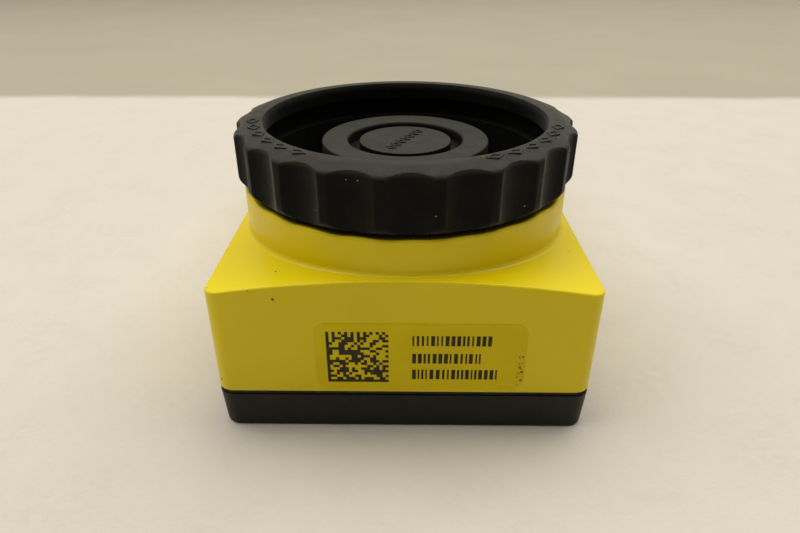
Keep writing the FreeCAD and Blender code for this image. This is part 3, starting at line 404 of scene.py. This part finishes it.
def anodised_black(_):
    # Turned aluminium, anodised black: fine tool marks along the axis under a deep, slightly metallic black.
    material, tree, shader, place = new_material("anodised_black_aluminium")
    base = blend_colours(tree, cloudy(tree, place, 6.0), srgb("#070707"), srgb("#0D0D0D"))
    tool = add_node(tree, "TexWave", {"wave_type": "BANDS", "bands_direction": "Z"},
                    {"Vector": place, "Scale": per_mm(0.25) / 20, "Distortion": 0.2})
    set_shader(tree, shader, Base_Color=base, Metallic=0.35, Roughness=cloudy(tree, place, 2.0, 0.36, 0.46),
               Normal=relief(tree, tool.outputs["Fac"], 0.003))
    return material


def nitrile_rubber(_):
    # Nitrile cord and gaskets: charcoal, matt, with talc left in the grain.
    return mottled("nitrile_rubber", 2.5, ("#1E1D19", "#33322C"), (1.4, 0.6, 0.8),
                   dots=(1.6, 0.08, 0.2, "#7D7A6E"), grained=(0.4, 0.01), IOR=1.52)


def window_glass(_):
    # Float glass with an anti-glare coat: clear, with a weak purple reflection and a trace of dust.
    material, tree, shader, place = new_material("coated_window_glass")
    dust = specks(tree, place, 1.8, 0.06, 0.25)
    set_shader(tree, shader, Base_Color=blend_colours(tree, dust, srgb("#E6E2F2"), srgb("#9C9A94")),
               Roughness=cloudy(tree, place, 3.0, 0.01, 0.05), IOR=1.52, Transmission_Weight=1.0)
    return material


def nickel_plate(_):
    # Bright nickel on turned brass: warm grey metal with turning marks and light tarnish.
    material, tree, shader, place = new_material("nickel_plated_brass")
    base = blend_colours(tree, cloudy(tree, place, 3.0), srgb("#B9B4A6"), srgb("#CFCBBF"))
    tool = add_node(tree, "TexWave", {"wave_type": "BANDS", "bands_direction": "Y"},
                    {"Vector": place, "Scale": per_mm(0.2) / 20, "Distortion": 0.3})
    set_shader(tree, shader, Base_Color=base, Metallic=1.0, Roughness=cloudy(tree, place, 1.5, 0.2, 0.34),
               Normal=relief(tree, tool.outputs["Fac"], 0.002))
    return material


def gold_plate(_):
    # Hard gold on contact pins: satin, paler where it has rubbed.
    return mottled("gold_plated_contact", 0.8, ("#C9A24A", "#E0C178"), (0.6, 0.22, 0.36),
                   grained=(0.2, 0.002), Metallic=1.0)


def turned_brass(_):
    # Hexagon bar brass: yellow metal, drawn lines along the bar.
    material, tree, shader, place = new_material("turned_brass")
    drawn = add_node(tree, "Mapping", inputs={"Vector": place, "Scale": (1.0, 1.0, 0.08)})
    lines = cloudy(tree, drawn.outputs["Vector"], 0.2)
    base = blend_colours(tree, lines, srgb("#A98A45"), srgb("#C8A860"))
    set_shader(tree, shader, Base_Color=base, Metallic=1.0, Roughness=cloudy(tree, place, 1.0, 0.25, 0.4),
               Normal=relief(tree, lines, 0.003))
    return material


def stainless_screw(_):
    # Cold-headed stainless screws: pale grey, smeared lines from the header.
    return mottled("stainless_steel_screw", 1.2, ("#8E8C87", "#B4B2AC"), (0.8, 0.26, 0.42),
                   grained=(0.35, 0.004), Metallic=1.0)


def black_oxide_steel(_):
    # Blackened steel screws: an oily near-black with brown edges to it.
    return mottled("black_oxide_steel", 1.0, ("#1B1917", "#2E2925"), (0.7, 0.35, 0.5),
                   grained=(0.3, 0.004), Metallic=0.8)


def board_laminate(_):
    # Glass-epoxy board under green solder mask: copper tracks show as a slightly lighter weave of steps,
    # with tinned vias scattered between them.
    material, tree, shader, place = new_material("board_laminate")
    tracks = add_node(tree, "TexBrick", {"offset": 0.5, "squash": 1.0}, {
        "Vector": place, "Scale": per_mm(3.2), "Mortar Size": 0.09, "Brick Width": 0.9, "Row Height": 0.28,
        "Color1": rgba(srgb("#0F3A22")), "Color2": rgba(srgb("#12442A")), "Mortar": rgba(srgb("#1D6139"))})
    vias = specks(tree, place, 2.1, 0.28, 0.4)
    base = blend_colours(tree, vias, tracks.outputs["Color"], srgb("#B9B6A8"))
    set_shader(tree, shader, Base_Color=base, Roughness=cloudy(tree, place, 2.0, 0.28, 0.4),
               Normal=relief(tree, tracks.outputs["Fac"], 0.02), IOR=1.55)
    return material


def mould_compound(_):
    # Epoxy mould compound of chips: charcoal with a sparkle of silica.
    return mottled("epoxy_mould_compound", 0.4, ("#1A1A1B", "#2B2B2C"), (0.8, 0.55, 0.7),
                   grained=(0.25, 0.008), IOR=1.55)


def sensor_ceramic(_):
    # Alumina package: violet-grey, unglazed, faintly mottled.
    return mottled("alumina_ceramic", 0.9, ("#4A4650", "#5A5560"), (0.7, 0.5, 0.65),
                   grained=(0.25, 0.006), IOR=1.76)


def silicone_pad(_):
    # Heat pad: filled silicone, chalky pink-grey, dimpled by its liner.
    return mottled("filled_silicone_pad", 1.2, ("#8A7F86", "#A2979E"), (0.9, 0.7, 0.85),
                   grained=(0.5, 0.02), IOR=1.43)


def contact_insulator(_):
    # Polyamide insulators: dense black, semi-matt, moulded.
    return mottled("polyamide_insulator", 1.4, ("#151516", "#242426"), (0.9, 0.42, 0.55),
                   dots=(1.1, 0.05, 0.2, "#6B6A66"), grained=(0.3, 0.006), IOR=1.53)


def board_connector(_):
    # Liquid-crystal polymer of board connectors: charcoal, streaked along its flow.
    material, tree, shader, place = new_material("liquid_crystal_polymer")
    flow = add_node(tree, "Mapping", inputs={"Vector": place, "Scale": (0.2, 1.0, 1.0)})
    base = blend_colours(tree, cloudy(tree, flow.outputs["Vector"], 0.6), srgb("#2A2926"), srgb("#3A3833"))
    set_shader(tree, shader, Base_Color=base, Roughness=cloudy(tree, place, 0.8, 0.45, 0.6),
               Normal=grain(tree, place, 0.3, 0.005), IOR=1.6)
    return material


def clear_polycarbonate(_):
    # Light pipes: water-clear polycarbonate, faintly hazed on the moulded end.
    return mottled("clear_polycarbonate", 0.8, ("#DCE2E0", "#F0F3F1"), (0.5, 0.12, 0.26),
                   IOR=1.585, Transmission_Weight=0.85)


def lamp_resin(_):
    # Lamp bodies: milky epoxy over a yellow phosphor, unlit.
    return mottled("lamp_epoxy", 0.5, ("#E2DC9A", "#EFEBC4"), (0.4, 0.25, 0.4), IOR=1.5)


def matt_sheet(colours):
    # Pale foam sheet under the camera: matt, softly mottled, duller and greyer where it runs back out
    # of the light.
    material, tree, shader, place = new_material("matt_foam_sheet")
    near, far = tuple(colours.floor), tuple(colours.backdrop)
    along = add_node(tree, "SeparateXYZ", inputs={"Vector": place})
    wander = cloudy(tree, place, 30.0, -1.0 * MM, 1.0 * MM)
    reach = combine(tree, "ADD", along.outputs["Y"], wander)
    back = ramp(tree, reach, 195 * MM, 208 * MM)
    patch = cloudy(tree, place, 14.0, detail=4.0)
    light = blend_colours(tree, patch, tint(near, 0.965), tint(near, 1.03))
    light = blend_colours(tree, cloudy(tree, place, 2.2), light, tint(near, 1.01))
    dull = blend_colours(tree, cloudy(tree, place, 60.0), tint(far, 0.98), tint(far, 1.02))
    base = blend_colours(tree, back, light, dull)
    set_shader(tree, shader, Base_Color=base, Roughness=cloudy(tree, place, 8.0, 0.85, 0.95),
               Normal=grain(tree, place, 0.9, 0.03), Specular_IOR_Level=0.2)
    return material


# The finish of each solid that keeps its own shape.
NODE_FINISHES = {
    "rear_cover": powder_coat_black, "main_gasket": nitrile_rubber,
    "lens_turret": anodised_black, "turret_o_ring": nitrile_rubber, "turret_screws": black_oxide_steel,
    "ring_seal": nitrile_rubber, "sensor_window": window_glass, "window_retainer": anodised_black,
    "image_sensor": sensor_ceramic, "sensor_glass": window_glass, "sensor_board": board_laminate,
    "processor_board": board_laminate, "processor_chip": mould_compound, "thermal_pad": silicone_pad,
    "memory_chips": mould_compound, "board_link": board_connector, "connector_board": board_laminate,
    "board_standoffs": turned_brass, "board_screws": stainless_screw, "cover_screws": stainless_screw,
    "power_insert": contact_insulator, "power_pins": gold_plate, "network_insert": contact_insulator,
    "network_sockets": gold_plate, "connector_washers": nitrile_rubber, "connector_nuts": nickel_plate,
    "light_pipes": clear_polycarbonate, "status_lamps": lamp_resin,
}
made_finishes = {}


def finish_of(make, context):
    """Each material is made once, and shared."""
    if make not in made_finishes:
        made_finishes[make] = make(context.scene.vision_camera_colours)
    return made_finishes[make]


def finish_nodes(context, names):
    for name in names:
        NODES[name].material_slots[0].material = finish_of(NODE_FINISHES[name], context)


# ---------------------------------------------------------------- shapes

def outline_wire(shape, points, closed=True):
    """A run of edges through (radius, height) points in the XZ plane; gives back its corners."""
    corners = [shape.verts.new((x, 0.0, z)) for x, z in points]
    for pair in zip(corners, corners[1:] + corners[:1] if closed else corners[1:]):
        shape.edges.new(pair)
    return corners


def round_corners(shape, radius, segments, corners):
    """Rounds corners of a wire."""
    bmesh.ops.bevel(shape, geom=corners, offset=radius, offset_type="OFFSET", affect="VERTICES",
                    segments=segments, profile=0.5, material=-1)


def spin_wire(shape, steps, whole=True):
    """Turns every edge about Z."""
    bmesh.ops.spin(shape, geom=shape.verts[:] + shape.edges[:], cent=(0, 0, 0), axis=(0, 0, 1), dvec=(0, 0, 0),
                   angle=2 * math.pi, steps=steps, use_merge=whole, use_duplicate=False)


def close_up(shape):
    """Merges doubles and points the faces outwards."""
    bmesh.ops.remove_doubles(shape, verts=shape.verts, dist=0.0005)
    bmesh.ops.recalc_face_normals(shape, faces=shape.faces)


def helix(shape, profile, pitch, turns, steps, start):
    """A thread's ridge: a closed profile of (radius, height) points, swept up a helix."""
    corners = outline_wire(shape, [(x, z + start) for x, z in profile])
    wire = list({edge for corner in corners for edge in corner.link_edges})
    bmesh.ops.spin(shape, geom=wire + corners, cent=(0, 0, 0), axis=(0, 0, 1),
                   dvec=(0, 0, pitch / steps), angle=2 * math.pi * turns, steps=int(steps * turns),
                   use_merge=False, use_duplicate=False)
    bmesh.ops.holes_fill(shape, edges=[edge for edge in shape.edges if edge.is_boundary], sides=len(profile))


def new_piece(shape, name, body, material, replaced=(), sharp=35.0):
    """Turns a shape in millimetres into a piece that rides on a body."""
    bmesh.ops.scale(shape, vec=(MM, MM, MM), verts=shape.verts)
    mesh = bpy.data.meshes.new(name)
    shape.to_mesh(mesh)
    shape.free()
    mesh.polygons.foreach_set("use_smooth", [True] * len(mesh.polygons))
    mesh.set_sharp_from_angle(angle=math.radians(sharp))
    mesh.materials.append(material)
    piece = bpy.data.objects.new(name, mesh)
    bpy.context.scene.collection.objects.link(piece)
    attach(piece, body)
    if replaced:
        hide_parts(*replaced)
    return piece


def raise_plate(shape, faces, height):
    """Thickens flat faces by height along Z, and gives back the new corners."""
    grown = bmesh.ops.extrude_face_region(shape, geom=faces, use_keep_orig=True)
    tops = [item for item in grown["geom"] if isinstance(item, bmesh.types.BMVert)]
    bmesh.ops.translate(shape, verts=tops, vec=(0, 0, height))
    return tops


def subdivide_long(shape, least):
    """Cuts every edge longer than least in four."""
    long_edges = [edge for edge in shape.edges if edge.calc_length() > least]
    bmesh.ops.subdivide_edges(shape, edges=long_edges, cuts=3)


def make_ring_shape(sizes):
    """The ring's section, turned, and then drawn in along each flute."""
    top, outer = RING_HIGH.z + RING_RISE, RING_HIGH.x
    slot, slot_top = SEAL_HIGH.x + SEAL_PLAY[0], SEAL_HIGH.z + SEAL_PLAY[1]
    foot_in, foot_up = RING_FOOT_CHAMFER
    crown_in, crown_down = RING_CROWN
    shape = bmesh.new()
    corners = outline_wire(shape, [
        (slot, RING_FOOT), (outer - foot_in, RING_FOOT), (outer, RING_FOOT + foot_up),
        (outer, top - crown_down), (outer - crown_in, top), (RING_LIP, top), (RING_LIP, RING_LIP_BOTTOM),
        (RING_BORE, RING_LIP_BOTTOM), (RING_BORE, slot_top), (slot, slot_top)])
    for corner, (radius, segments) in zip(corners[1:], RING_ROUNDS):
        round_corners(shape, radius, segments, [corner])
    subdivide_long(shape, 1.0)
    spin_wire(shape, STEPS_PER_FLUTE * sizes.flute_count)
    close_up(shape)
    carve_flutes(shape, sizes, outer)
    return shape


def carve_flutes(shape, sizes, outer):
    """Draws the ring's skin in to each flute, with a small round where flute and land meet."""
    cutter = sizes.flute_radius / MM
    centre = outer - sizes.flute_depth / MM + cutter
    spacing = 2 * math.pi / sizes.flute_count
    for corner in shape.verts:
        radius = math.hypot(corner.co.x, corner.co.y)
        if radius < outer - FLUTE_REACH:
            continue
        angle = math.atan2(corner.co.y, corner.co.x) + math.pi / 2 - sizes.flute_phase
        angle -= spacing * round(angle / spacing)
        across = centre * math.sin(angle)
        if abs(across) >= cutter:
            continue
        limit = centre * math.cos(angle) - math.sqrt(cutter * cutter - across * across)
        gap = min(1.0, abs(radius - limit) / FLUTE_EASE)
        wanted = min(radius, limit) - FLUTE_EASE * (1 - gap) ** 2 / 4
        corner.co.x *= wanted / radius
        corner.co.y *= wanted / radius


def open_lozenge(shape, span, low, high, turn):
    """A raised lozenge outline from low to high, laid where turn puts it.

    span is its width, its height and the width of its stroke.
    """
    wide, tall, stroke = span
    corners = bmesh.ops.create_circle(shape, cap_ends=True, radius=0.5, segments=4)["verts"]
    bmesh.ops.scale(shape, vec=(wide, tall, 1), verts=corners)
    middle = list({face for corner in corners for face in corner.link_faces})
    rim = bmesh.ops.inset_region(shape, faces=middle, thickness=stroke, use_boundary=True,
                                 use_even_offset=True)["faces"]
    bmesh.ops.delete(shape, geom=middle, context="FACES")
    foot = list({corner for face in rim for corner in face.verts})
    tops = raise_plate(shape, rim, high - low)
    bmesh.ops.transform(shape, matrix=turn @ Matrix.Translation((0, 0, low)), verts=foot + tops)


def ring_marks(sizes, top):
    """Groups of raised lozenges round the ring's top."""
    shape = bmesh.new()
    out = Matrix.Translation((MARK_RADIUS, 0, 0))
    for middle in MARK_GROUPS:
        for number in range(MARKS_IN_GROUP):
            angle = middle + MARK_STEP * (number - (MARKS_IN_GROUP - 1) / 2)
            turn = Matrix.Rotation(math.radians(angle), 4, "Z") @ out
            open_lozenge(shape, MARK_SPAN, top - MARK_SINK, top + sizes.mark_height / MM, turn)
    bmesh.ops.recalc_face_normals(shape, faces=shape.faces)
    return shape


def cap_shape():
    """The cap's section, with its plug and the groove about its button, turned."""
    top, seat, outer = CAP_HIGH.z + CAP_RISE, CAP_HIGH.z - CAP_SEAT, CAP_HIGH.x
    web, button, groove = top - CAP_WEB, CAP_HIGH.z, top - GROOVE_DEPTH
    shape = bmesh.new()
    corners = outline_wire(shape, [
        (0, web), (CAP_BORE, web), (CAP_BORE, CAP_LOW.z), (CAP_PLUG, CAP_LOW.z), (CAP_PLUG, seat),
        (outer, seat), (outer, top), (GROOVE_OUTER, top), (GROOVE_OUTER, groove), (GROOVE_INNER, groove),
        (GROOVE_INNER, button), (0, button)], closed=False)
    for corner, radius in zip(corners[5:], CAP_ROUNDS):
        round_corners(shape, radius, 4, [corner])
    subdivide_long(shape, 1.2)
    spin_wire(shape, 160)
    close_up(shape)
    return shape


def cap_marks(sizes):
    """A row of raised lozenges across the cap's button."""
    button = CAP_HIGH.z
    shape = bmesh.new()
    for number in range(CAP_MARKS):
        along = Matrix.Translation(((number - CAP_MARKS // 2) * CAP_MARK_SPACING, 0, 0))
        turn = Matrix.Rotation(math.radians(CAP_MARK_TURN), 4, "Z") @ along
        open_lozenge(shape, CAP_MARK_SPAN, button - CAP_MARK_SINK, button + sizes.mark_height / MM, turn)
    bmesh.ops.recalc_face_normals(shape, faces=shape.faces)
    return shape


def stand_up(shape, place):
    """Stands a plate drawn in XY up in XZ, with its top to the front, and moves it to its place."""
    turn = Matrix.Rotation(math.radians(90), 3, "X")
    bmesh.ops.rotate(shape, cent=(0, 0, 0), matrix=turn, verts=shape.verts)
    bmesh.ops.translate(shape, verts=shape.verts, vec=place)


def unit_square(shape):
    """Adds a square of side 1 and gives back its corners."""
    return bmesh.ops.create_grid(shape, x_segments=1, y_segments=1, size=0.5)["verts"]


def film_shape(thickness):
    """The label's film: a plate with round corners and an eased edge."""
    middle = (LABEL_LOW + LABEL_HIGH) / 2
    shape = bmesh.new()
    made = unit_square(shape)
    bmesh.ops.scale(shape, vec=(LABEL_HIGH.x - LABEL_LOW.x, LABEL_HIGH.z - LABEL_LOW.z, 1), verts=made)
    round_corners(shape, LABEL_CORNER, 10, made)
    raise_plate(shape, shape.faces[:], thickness)
    rim = [edge for edge in shape.edges if all(corner.co.z > thickness - 0.001 for corner in edge.verts)]
    bmesh.ops.bevel(shape, geom=rim, offset=LABEL_EDGE, offset_type="OFFSET", affect="EDGES", segments=2,
                    profile=0.5, material=-1)
    close_up(shape)
    stand_up(shape, (middle.x, LABEL_HIGH.y, middle.z))
    return shape


def code_shape(side, depth, draw):
    """A square of modules drawn at random inside a plain frame; it encodes nothing."""
    last = CODE_MODULES - 1
    shape = bmesh.new()
    bmesh.ops.create_grid(shape, x_segments=CODE_MODULES, y_segments=CODE_MODULES, size=0.5)
    spare = []
    middles = [(face, face.calc_center_median()) for face in shape.faces]
    for face, middle in sorted(middles, key=lambda item: (round(item[1].y, 4), item[1].x)):
        column, row = int((middle.x + 0.5) * CODE_MODULES), int((middle.y + 0.5) * CODE_MODULES)
        filled = draw.random() < 0.5
        if column == 0 or row == 0:
            filled = True
        elif row == last:
            filled = column % 2 == 0
        elif column == last:
            filled = row % 2 == 0
        if not filled:
            spare.append(face)
    bmesh.ops.delete(shape, geom=spare, context="FACES")
    bmesh.ops.scale(shape, vec=(side, side, 1), verts=shape.verts)
    raise_plate(shape, shape.faces[:], depth)
    stand_up(shape, (LABEL_LOW.x + CODE_INSET[0] + side / 2, LABEL_LOW.y + depth,
                     LABEL_HIGH.z - CODE_INSET[1] - side / 2))
    return shape


def print_shape(depth, draw):
    """Rows of plain bars, drawn at random from a few widths and gaps."""
    shape = bmesh.new()
    for top, length in PRINT_ROWS:
        at = 0.0
        while at < length - BAR_LEAST:
            width = min(draw.choice(BAR_WIDTHS), length - at)
            made = unit_square(shape)
            faces = list({face for corner in made for face in corner.link_faces})
            bmesh.ops.scale(shape, vec=(width, PRINT_HEIGHT, 1), verts=made)
            middle = (PRINT_LEFT + at + width / 2, -top - PRINT_HEIGHT / 2, 0)
            bmesh.ops.translate(shape, verts=made, vec=middle)
            raise_plate(shape, faces, depth)
            at += width + draw.choice(BAR_GAPS)
    stand_up(shape, (LABEL_LOW.x, LABEL_LOW.y + depth, LABEL_HIGH.z))
    return shape


def shell_shape(name, pitch, outer_thread):
    """A connector's shell, turned, with its thread outside or inside."""
    low, high = box_mm(name)
    middle = (low + high) / 2
    end, flange = high.y - low.y - SHELL_TAIL, (high.x - low.x) / 2
    section = [(SHELL_BORE, -SHELL_TAIL), (SHELL_THREAD, -SHELL_TAIL), (SHELL_THREAD, SHELL_STEP),
               (flange, SHELL_STEP), (flange, FLANGE_TOP)]
    if outer_thread:
        section += [(5.45, FLANGE_TOP), (5.45, end - 0.5), (5.2, end), (CONTACT_BORE, end)]
        ridge, turns, start = [(5.4, -0.44), (6.0, -0.08), (6.0, 0.08), (5.4, 0.44)], 6, 3.4
    else:
        section += [(7.0, FLANGE_TOP), (7.0, end), (5.75, end), (5.55, end - 0.2), (5.55, FLANGE_TOP),
                    (CONTACT_BORE, FLANGE_TOP)]
        ridge, turns, start = [(5.6, -0.44), (5.6, 0.44), (5.12, 0.08), (5.12, -0.08)], 3, 4.2
    section += [(CONTACT_BORE, CONTACT_SEAT), (SHELL_BORE, CONTACT_SEAT)]
    shape = bmesh.new()
    outline_wire(shape, section)
    rim = [corner for corner in shape.verts if corner.co.x > flange - 0.01]
    round_corners(shape, 0.3, 3, rim)
    spin_wire(shape, 96)
    close_up(shape)
    helix(shape, ridge, pitch, turns, THREAD_STEPS, start)
    close_up(shape)
    turn = Matrix.Rotation(math.radians(-90), 3, "X")
    bmesh.ops.rotate(shape, cent=(0, 0, 0), matrix=turn, verts=shape.verts)
    bmesh.ops.translate(shape, verts=shape.verts, vec=(middle.x, low.y + SHELL_TAIL, middle.z))
    return shape


# ---------------------------------------------------------------- operators

class VISIONCAMERA_OT_stage(bpy.types.Operator):
    """Pale sheet, soft box overhead and weak light from all round"""
    bl_idname = "vision_camera.stage"
    bl_label = "Stage"

    def execute(self, context):
        view = context.scene.vision_camera_view
        shape = bmesh.new()
        bmesh.ops.create_grid(shape, x_segments=8, y_segments=8, size=FLOOR_SIZE)
        mesh = bpy.data.meshes.new("floor")
        shape.to_mesh(mesh)
        shape.free()
        floor = bpy.data.objects.new("floor", mesh)
        context.scene.collection.objects.link(floor)
        mesh.materials.append(finish_of(matt_sheet, context))

        lamp = bpy.data.lights.new("overhead_box", "AREA")
        lamp.shape = "RECTANGLE"
        lamp.size, lamp.size_y = LAMP_SIZE
        lamp.energy = view.lamp_power
        lamp.color = srgb("#FFFDF6")
        holder = bpy.data.objects.new("overhead_box", lamp)
        holder.location = LAMP_PLACE
        aim = Vector(LAMP_AIM) - holder.location
        holder.rotation_euler = aim.to_track_quat("-Z", "Y").to_euler()
        context.scene.collection.objects.link(holder)

        world = bpy.data.worlds.new("studio")
        context.scene.world = world
        world.use_nodes = True
        tree = world.node_tree
        tree.nodes.clear()
        path = add_node(tree, "LightPath")
        shown = path.outputs["Is Camera Ray"]
        for kind in ("Is Transmission Ray", "Is Glossy Ray"):
            shown = combine(tree, "MAXIMUM", shown, path.outputs[kind])
        room = add_node(tree, "Background", inputs={"Color": rgba(srgb("#F4F1EA")), "Strength": view.sky})
        wall = add_node(tree, "Background", inputs={"Color": rgba(srgb("#C9C4B2")), "Strength": 1.0})
        both = add_node(tree, "MixShader", inputs={0: shown, 1: room.outputs["Background"],
                                                  2: wall.outputs["Background"]})
        add_node(tree, "OutputWorld", inputs={"Surface": both.outputs["Shader"]})
        return {"FINISHED"}


class VISIONCAMERA_OT_view(bpy.types.Operator):
    """The view that the finished camera is shown in"""
    bl_idname = "vision_camera.view"
    bl_label = "View"

    def execute(self, context):
        view = context.scene.vision_camera_view
        lens = bpy.data.cameras.new("view")
        lens.lens = view.lens
        lens.sensor_width = 36.0
        lens.clip_start = 0.01
        eye = bpy.data.objects.new("view", lens)
        context.scene.collection.objects.link(eye)
        level = math.cos(view.pitch)
        forward = Vector((math.sin(view.yaw) * level, math.cos(view.yaw) * level, -math.sin(view.pitch)))
        right = Vector((math.cos(view.yaw), -math.sin(view.yaw), 0))
        up = right.cross(forward)
        turn = Matrix((right, up, -forward)).transposed().to_4x4()
        eye.matrix_world = Matrix.Translation(view.place) @ turn
        context.scene.camera = eye
        context.scene.view_settings.view_transform = "Standard"
        return {"FINISHED"}


class VISIONCAMERA_OT_castings(bpy.types.Operator):
    """Painted housing with its collar raised, rear cover, gasket and screws"""
    bl_idname = "vision_camera.castings"
    bl_label = "Castings"

    def execute(self, context):
        finish_nodes(context, ("rear_cover", "main_gasket", "cover_screws"))
        shape = bmesh.new()
        shape.from_mesh(NODES["housing"].data)
        bmesh.ops.scale(shape, vec=(1 / MM, 1 / MM, 1 / MM), verts=shape.verts)
        bmesh.ops.remove_doubles(shape, verts=shape.verts, dist=0.0005)
        rim = [corner for corner in shape.verts if corner.co.z > COLLAR_FOOT]
        bmesh.ops.translate(shape, verts=rim, vec=(0, 0, COLLAR_LIFT))
        casting = new_piece(shape, "housing_casting", "camera", finish_of(powder_coat_yellow, context),
                            ["housing"])
        even = casting.modifiers.new("even_shading", "WEIGHTED_NORMAL")
        even.keep_sharp = True
        return {"FINISHED"}


class VISIONCAMERA_OT_lens_seat(bpy.types.Operator):
    """Finish of the lens turret, its seals, screws and window"""
    bl_idname = "vision_camera.lens_seat"
    bl_label = "Lens seat"

    def execute(self, context):
        finish_nodes(context, ("lens_turret", "turret_o_ring", "turret_screws", "ring_seal", "sensor_window",
                               "window_retainer"))
        return {"FINISHED"}


class VISIONCAMERA_OT_electronics(bpy.types.Operator):
    """Finish of the boards and what they carry"""
    bl_idname = "vision_camera.electronics"
    bl_label = "Electronics"

    def execute(self, context):
        finish_nodes(context, ("image_sensor", "sensor_glass", "sensor_board", "processor_board",
                               "processor_chip", "thermal_pad", "memory_chips", "board_link",
                               "connector_board", "board_standoffs", "board_screws", "light_pipes",
                               "status_lamps"))
        return {"FINISHED"}


class VISIONCAMERA_OT_lens_ring(bpy.types.Operator):
    """Moulded ring with thumb flutes and raised marks"""
    bl_idname = "vision_camera.lens_ring"
    bl_label = "Lens ring"

    def execute(self, context):
        sizes = context.scene.vision_camera_sizes
        nylon = finish_of(moulded_nylon_black, context)
        new_piece(make_ring_shape(sizes), "moulded_ring", "screw_ring", nylon, ["lens_ring"])
        marks = ring_marks(sizes, RING_HIGH.z + RING_RISE)
        new_piece(marks, "ring_marks", "screw_ring", nylon)
        return {"FINISHED"}


class VISIONCAMERA_OT_dust_cap(bpy.types.Operator):
    """Moulded cap with a sunk ring about its button"""
    bl_idname = "vision_camera.dust_cap"
    bl_label = "Dust cap"

    def execute(self, context):
        sizes = context.scene.vision_camera_sizes
        polyethylene = finish_of(moulded_polyethylene_dark, context)
        new_piece(cap_shape(), "cap_moulding", "cap", polyethylene, ["dust_cap"])
        new_piece(cap_marks(sizes), "cap_marks", "cap", polyethylene)
        return {"FINISHED"}


class VISIONCAMERA_OT_label(bpy.types.Operator):
    """Film label with a square of modules and rows of plain bars"""
    bl_idname = "vision_camera.label"
    bl_label = "Label"

    def execute(self, context):
        sizes = context.scene.vision_camera_sizes
        thickness = LABEL_HIGH.y - LABEL_LOW.y
        film = film_shape(thickness * FILM_SHARE)
        new_piece(film, "label_film", "camera", finish_of(polyester_film, context), ["label"])

        ink = finish_of(thermal_ink, context)
        depth = thickness * (1 - FILM_SHARE)
        draw = random.Random(20)
        code = code_shape(sizes.code_width / MM, depth, draw)
        new_piece(code, "code_square", "camera", ink, sharp=30)
        rows = print_shape(depth, draw)
        new_piece(rows, "print_rows", "camera", ink, sharp=30)
        return {"FINISHED"}


class VISIONCAMERA_OT_connectors(bpy.types.Operator):
    """Threaded connector shells, with their inserts, contacts, washers and nuts"""
    bl_idname = "vision_camera.connectors"
    bl_label = "Connectors"

    def execute(self, context):
        pitch = context.scene.vision_camera_sizes.thread_pitch / MM
        nickel = finish_of(nickel_plate, context)
        for name, outer_thread in (("power_shell", True), ("network_shell", False)):
            shape = shell_shape(name, pitch, outer_thread)
            new_piece(shape, name + "_turned", "camera", nickel, [name])
        finish_nodes(context, ("power_insert", "power_pins", "network_insert", "network_sockets",
                               "connector_washers", "connector_nuts"))
        return {"FINISHED"}


class VISIONCAMERA_PT_panel(bpy.types.Panel):
    """Lists the pieces of the vision camera"""
    bl_idname = "VISIONCAMERA_PT_panel"
    bl_label = "Vision Camera"
    bl_space_type = "VIEW_3D"
    bl_region_type = "UI"
    bl_category = "Vision Camera"

    def draw(self, context):
        for operator in OPERATORS:
            self.layout.operator(operator.bl_idname)
        for group in ("vision_camera_sizes", "vision_camera_colours", "vision_camera_view"):
            settings = getattr(context.scene, group)
            box = self.layout.box()
            for name in settings.__annotations__:
                box.prop(settings, name)


OPERATORS = (
    VISIONCAMERA_OT_view, VISIONCAMERA_OT_stage, VISIONCAMERA_OT_castings, VISIONCAMERA_OT_lens_seat,
    VISIONCAMERA_OT_electronics, VISIONCAMERA_OT_lens_ring, VISIONCAMERA_OT_dust_cap, VISIONCAMERA_OT_label,
    VISIONCAMERA_OT_connectors,
)
GROUPS = (
    ("vision_camera_sizes", VisionCameraSizes), ("vision_camera_colours", VisionCameraColours),
    ("vision_camera_view", VisionCameraView),
)


def register():
    for name, group in GROUPS:
        bpy.utils.register_class(group)
        setattr(bpy.types.Scene, name, PointerProperty(type=group))
    for item in OPERATORS + (VISIONCAMERA_PT_panel,):
        bpy.utils.register_class(item)


def unregister():
    for item in reversed(OPERATORS + (VISIONCAMERA_PT_panel,)):
        bpy.utils.unregister_class(item)
    for name, group in reversed(GROUPS):
        delattr(bpy.types.Scene, name)
        bpy.utils.unregister_class(group)


def main():
    register()
    bpy.ops.vision_camera.view()
    bpy.ops.vision_camera.stage()
    bpy.ops.vision_camera.castings()
    bpy.ops.vision_camera.lens_seat()
    bpy.ops.vision_camera.electronics()
    bpy.ops.vision_camera.lens_ring()
    bpy.ops.vision_camera.dust_cap()
    bpy.ops.vision_camera.label()
    bpy.ops.vision_camera.connectors()


if __name__ == "__main__":
    main()
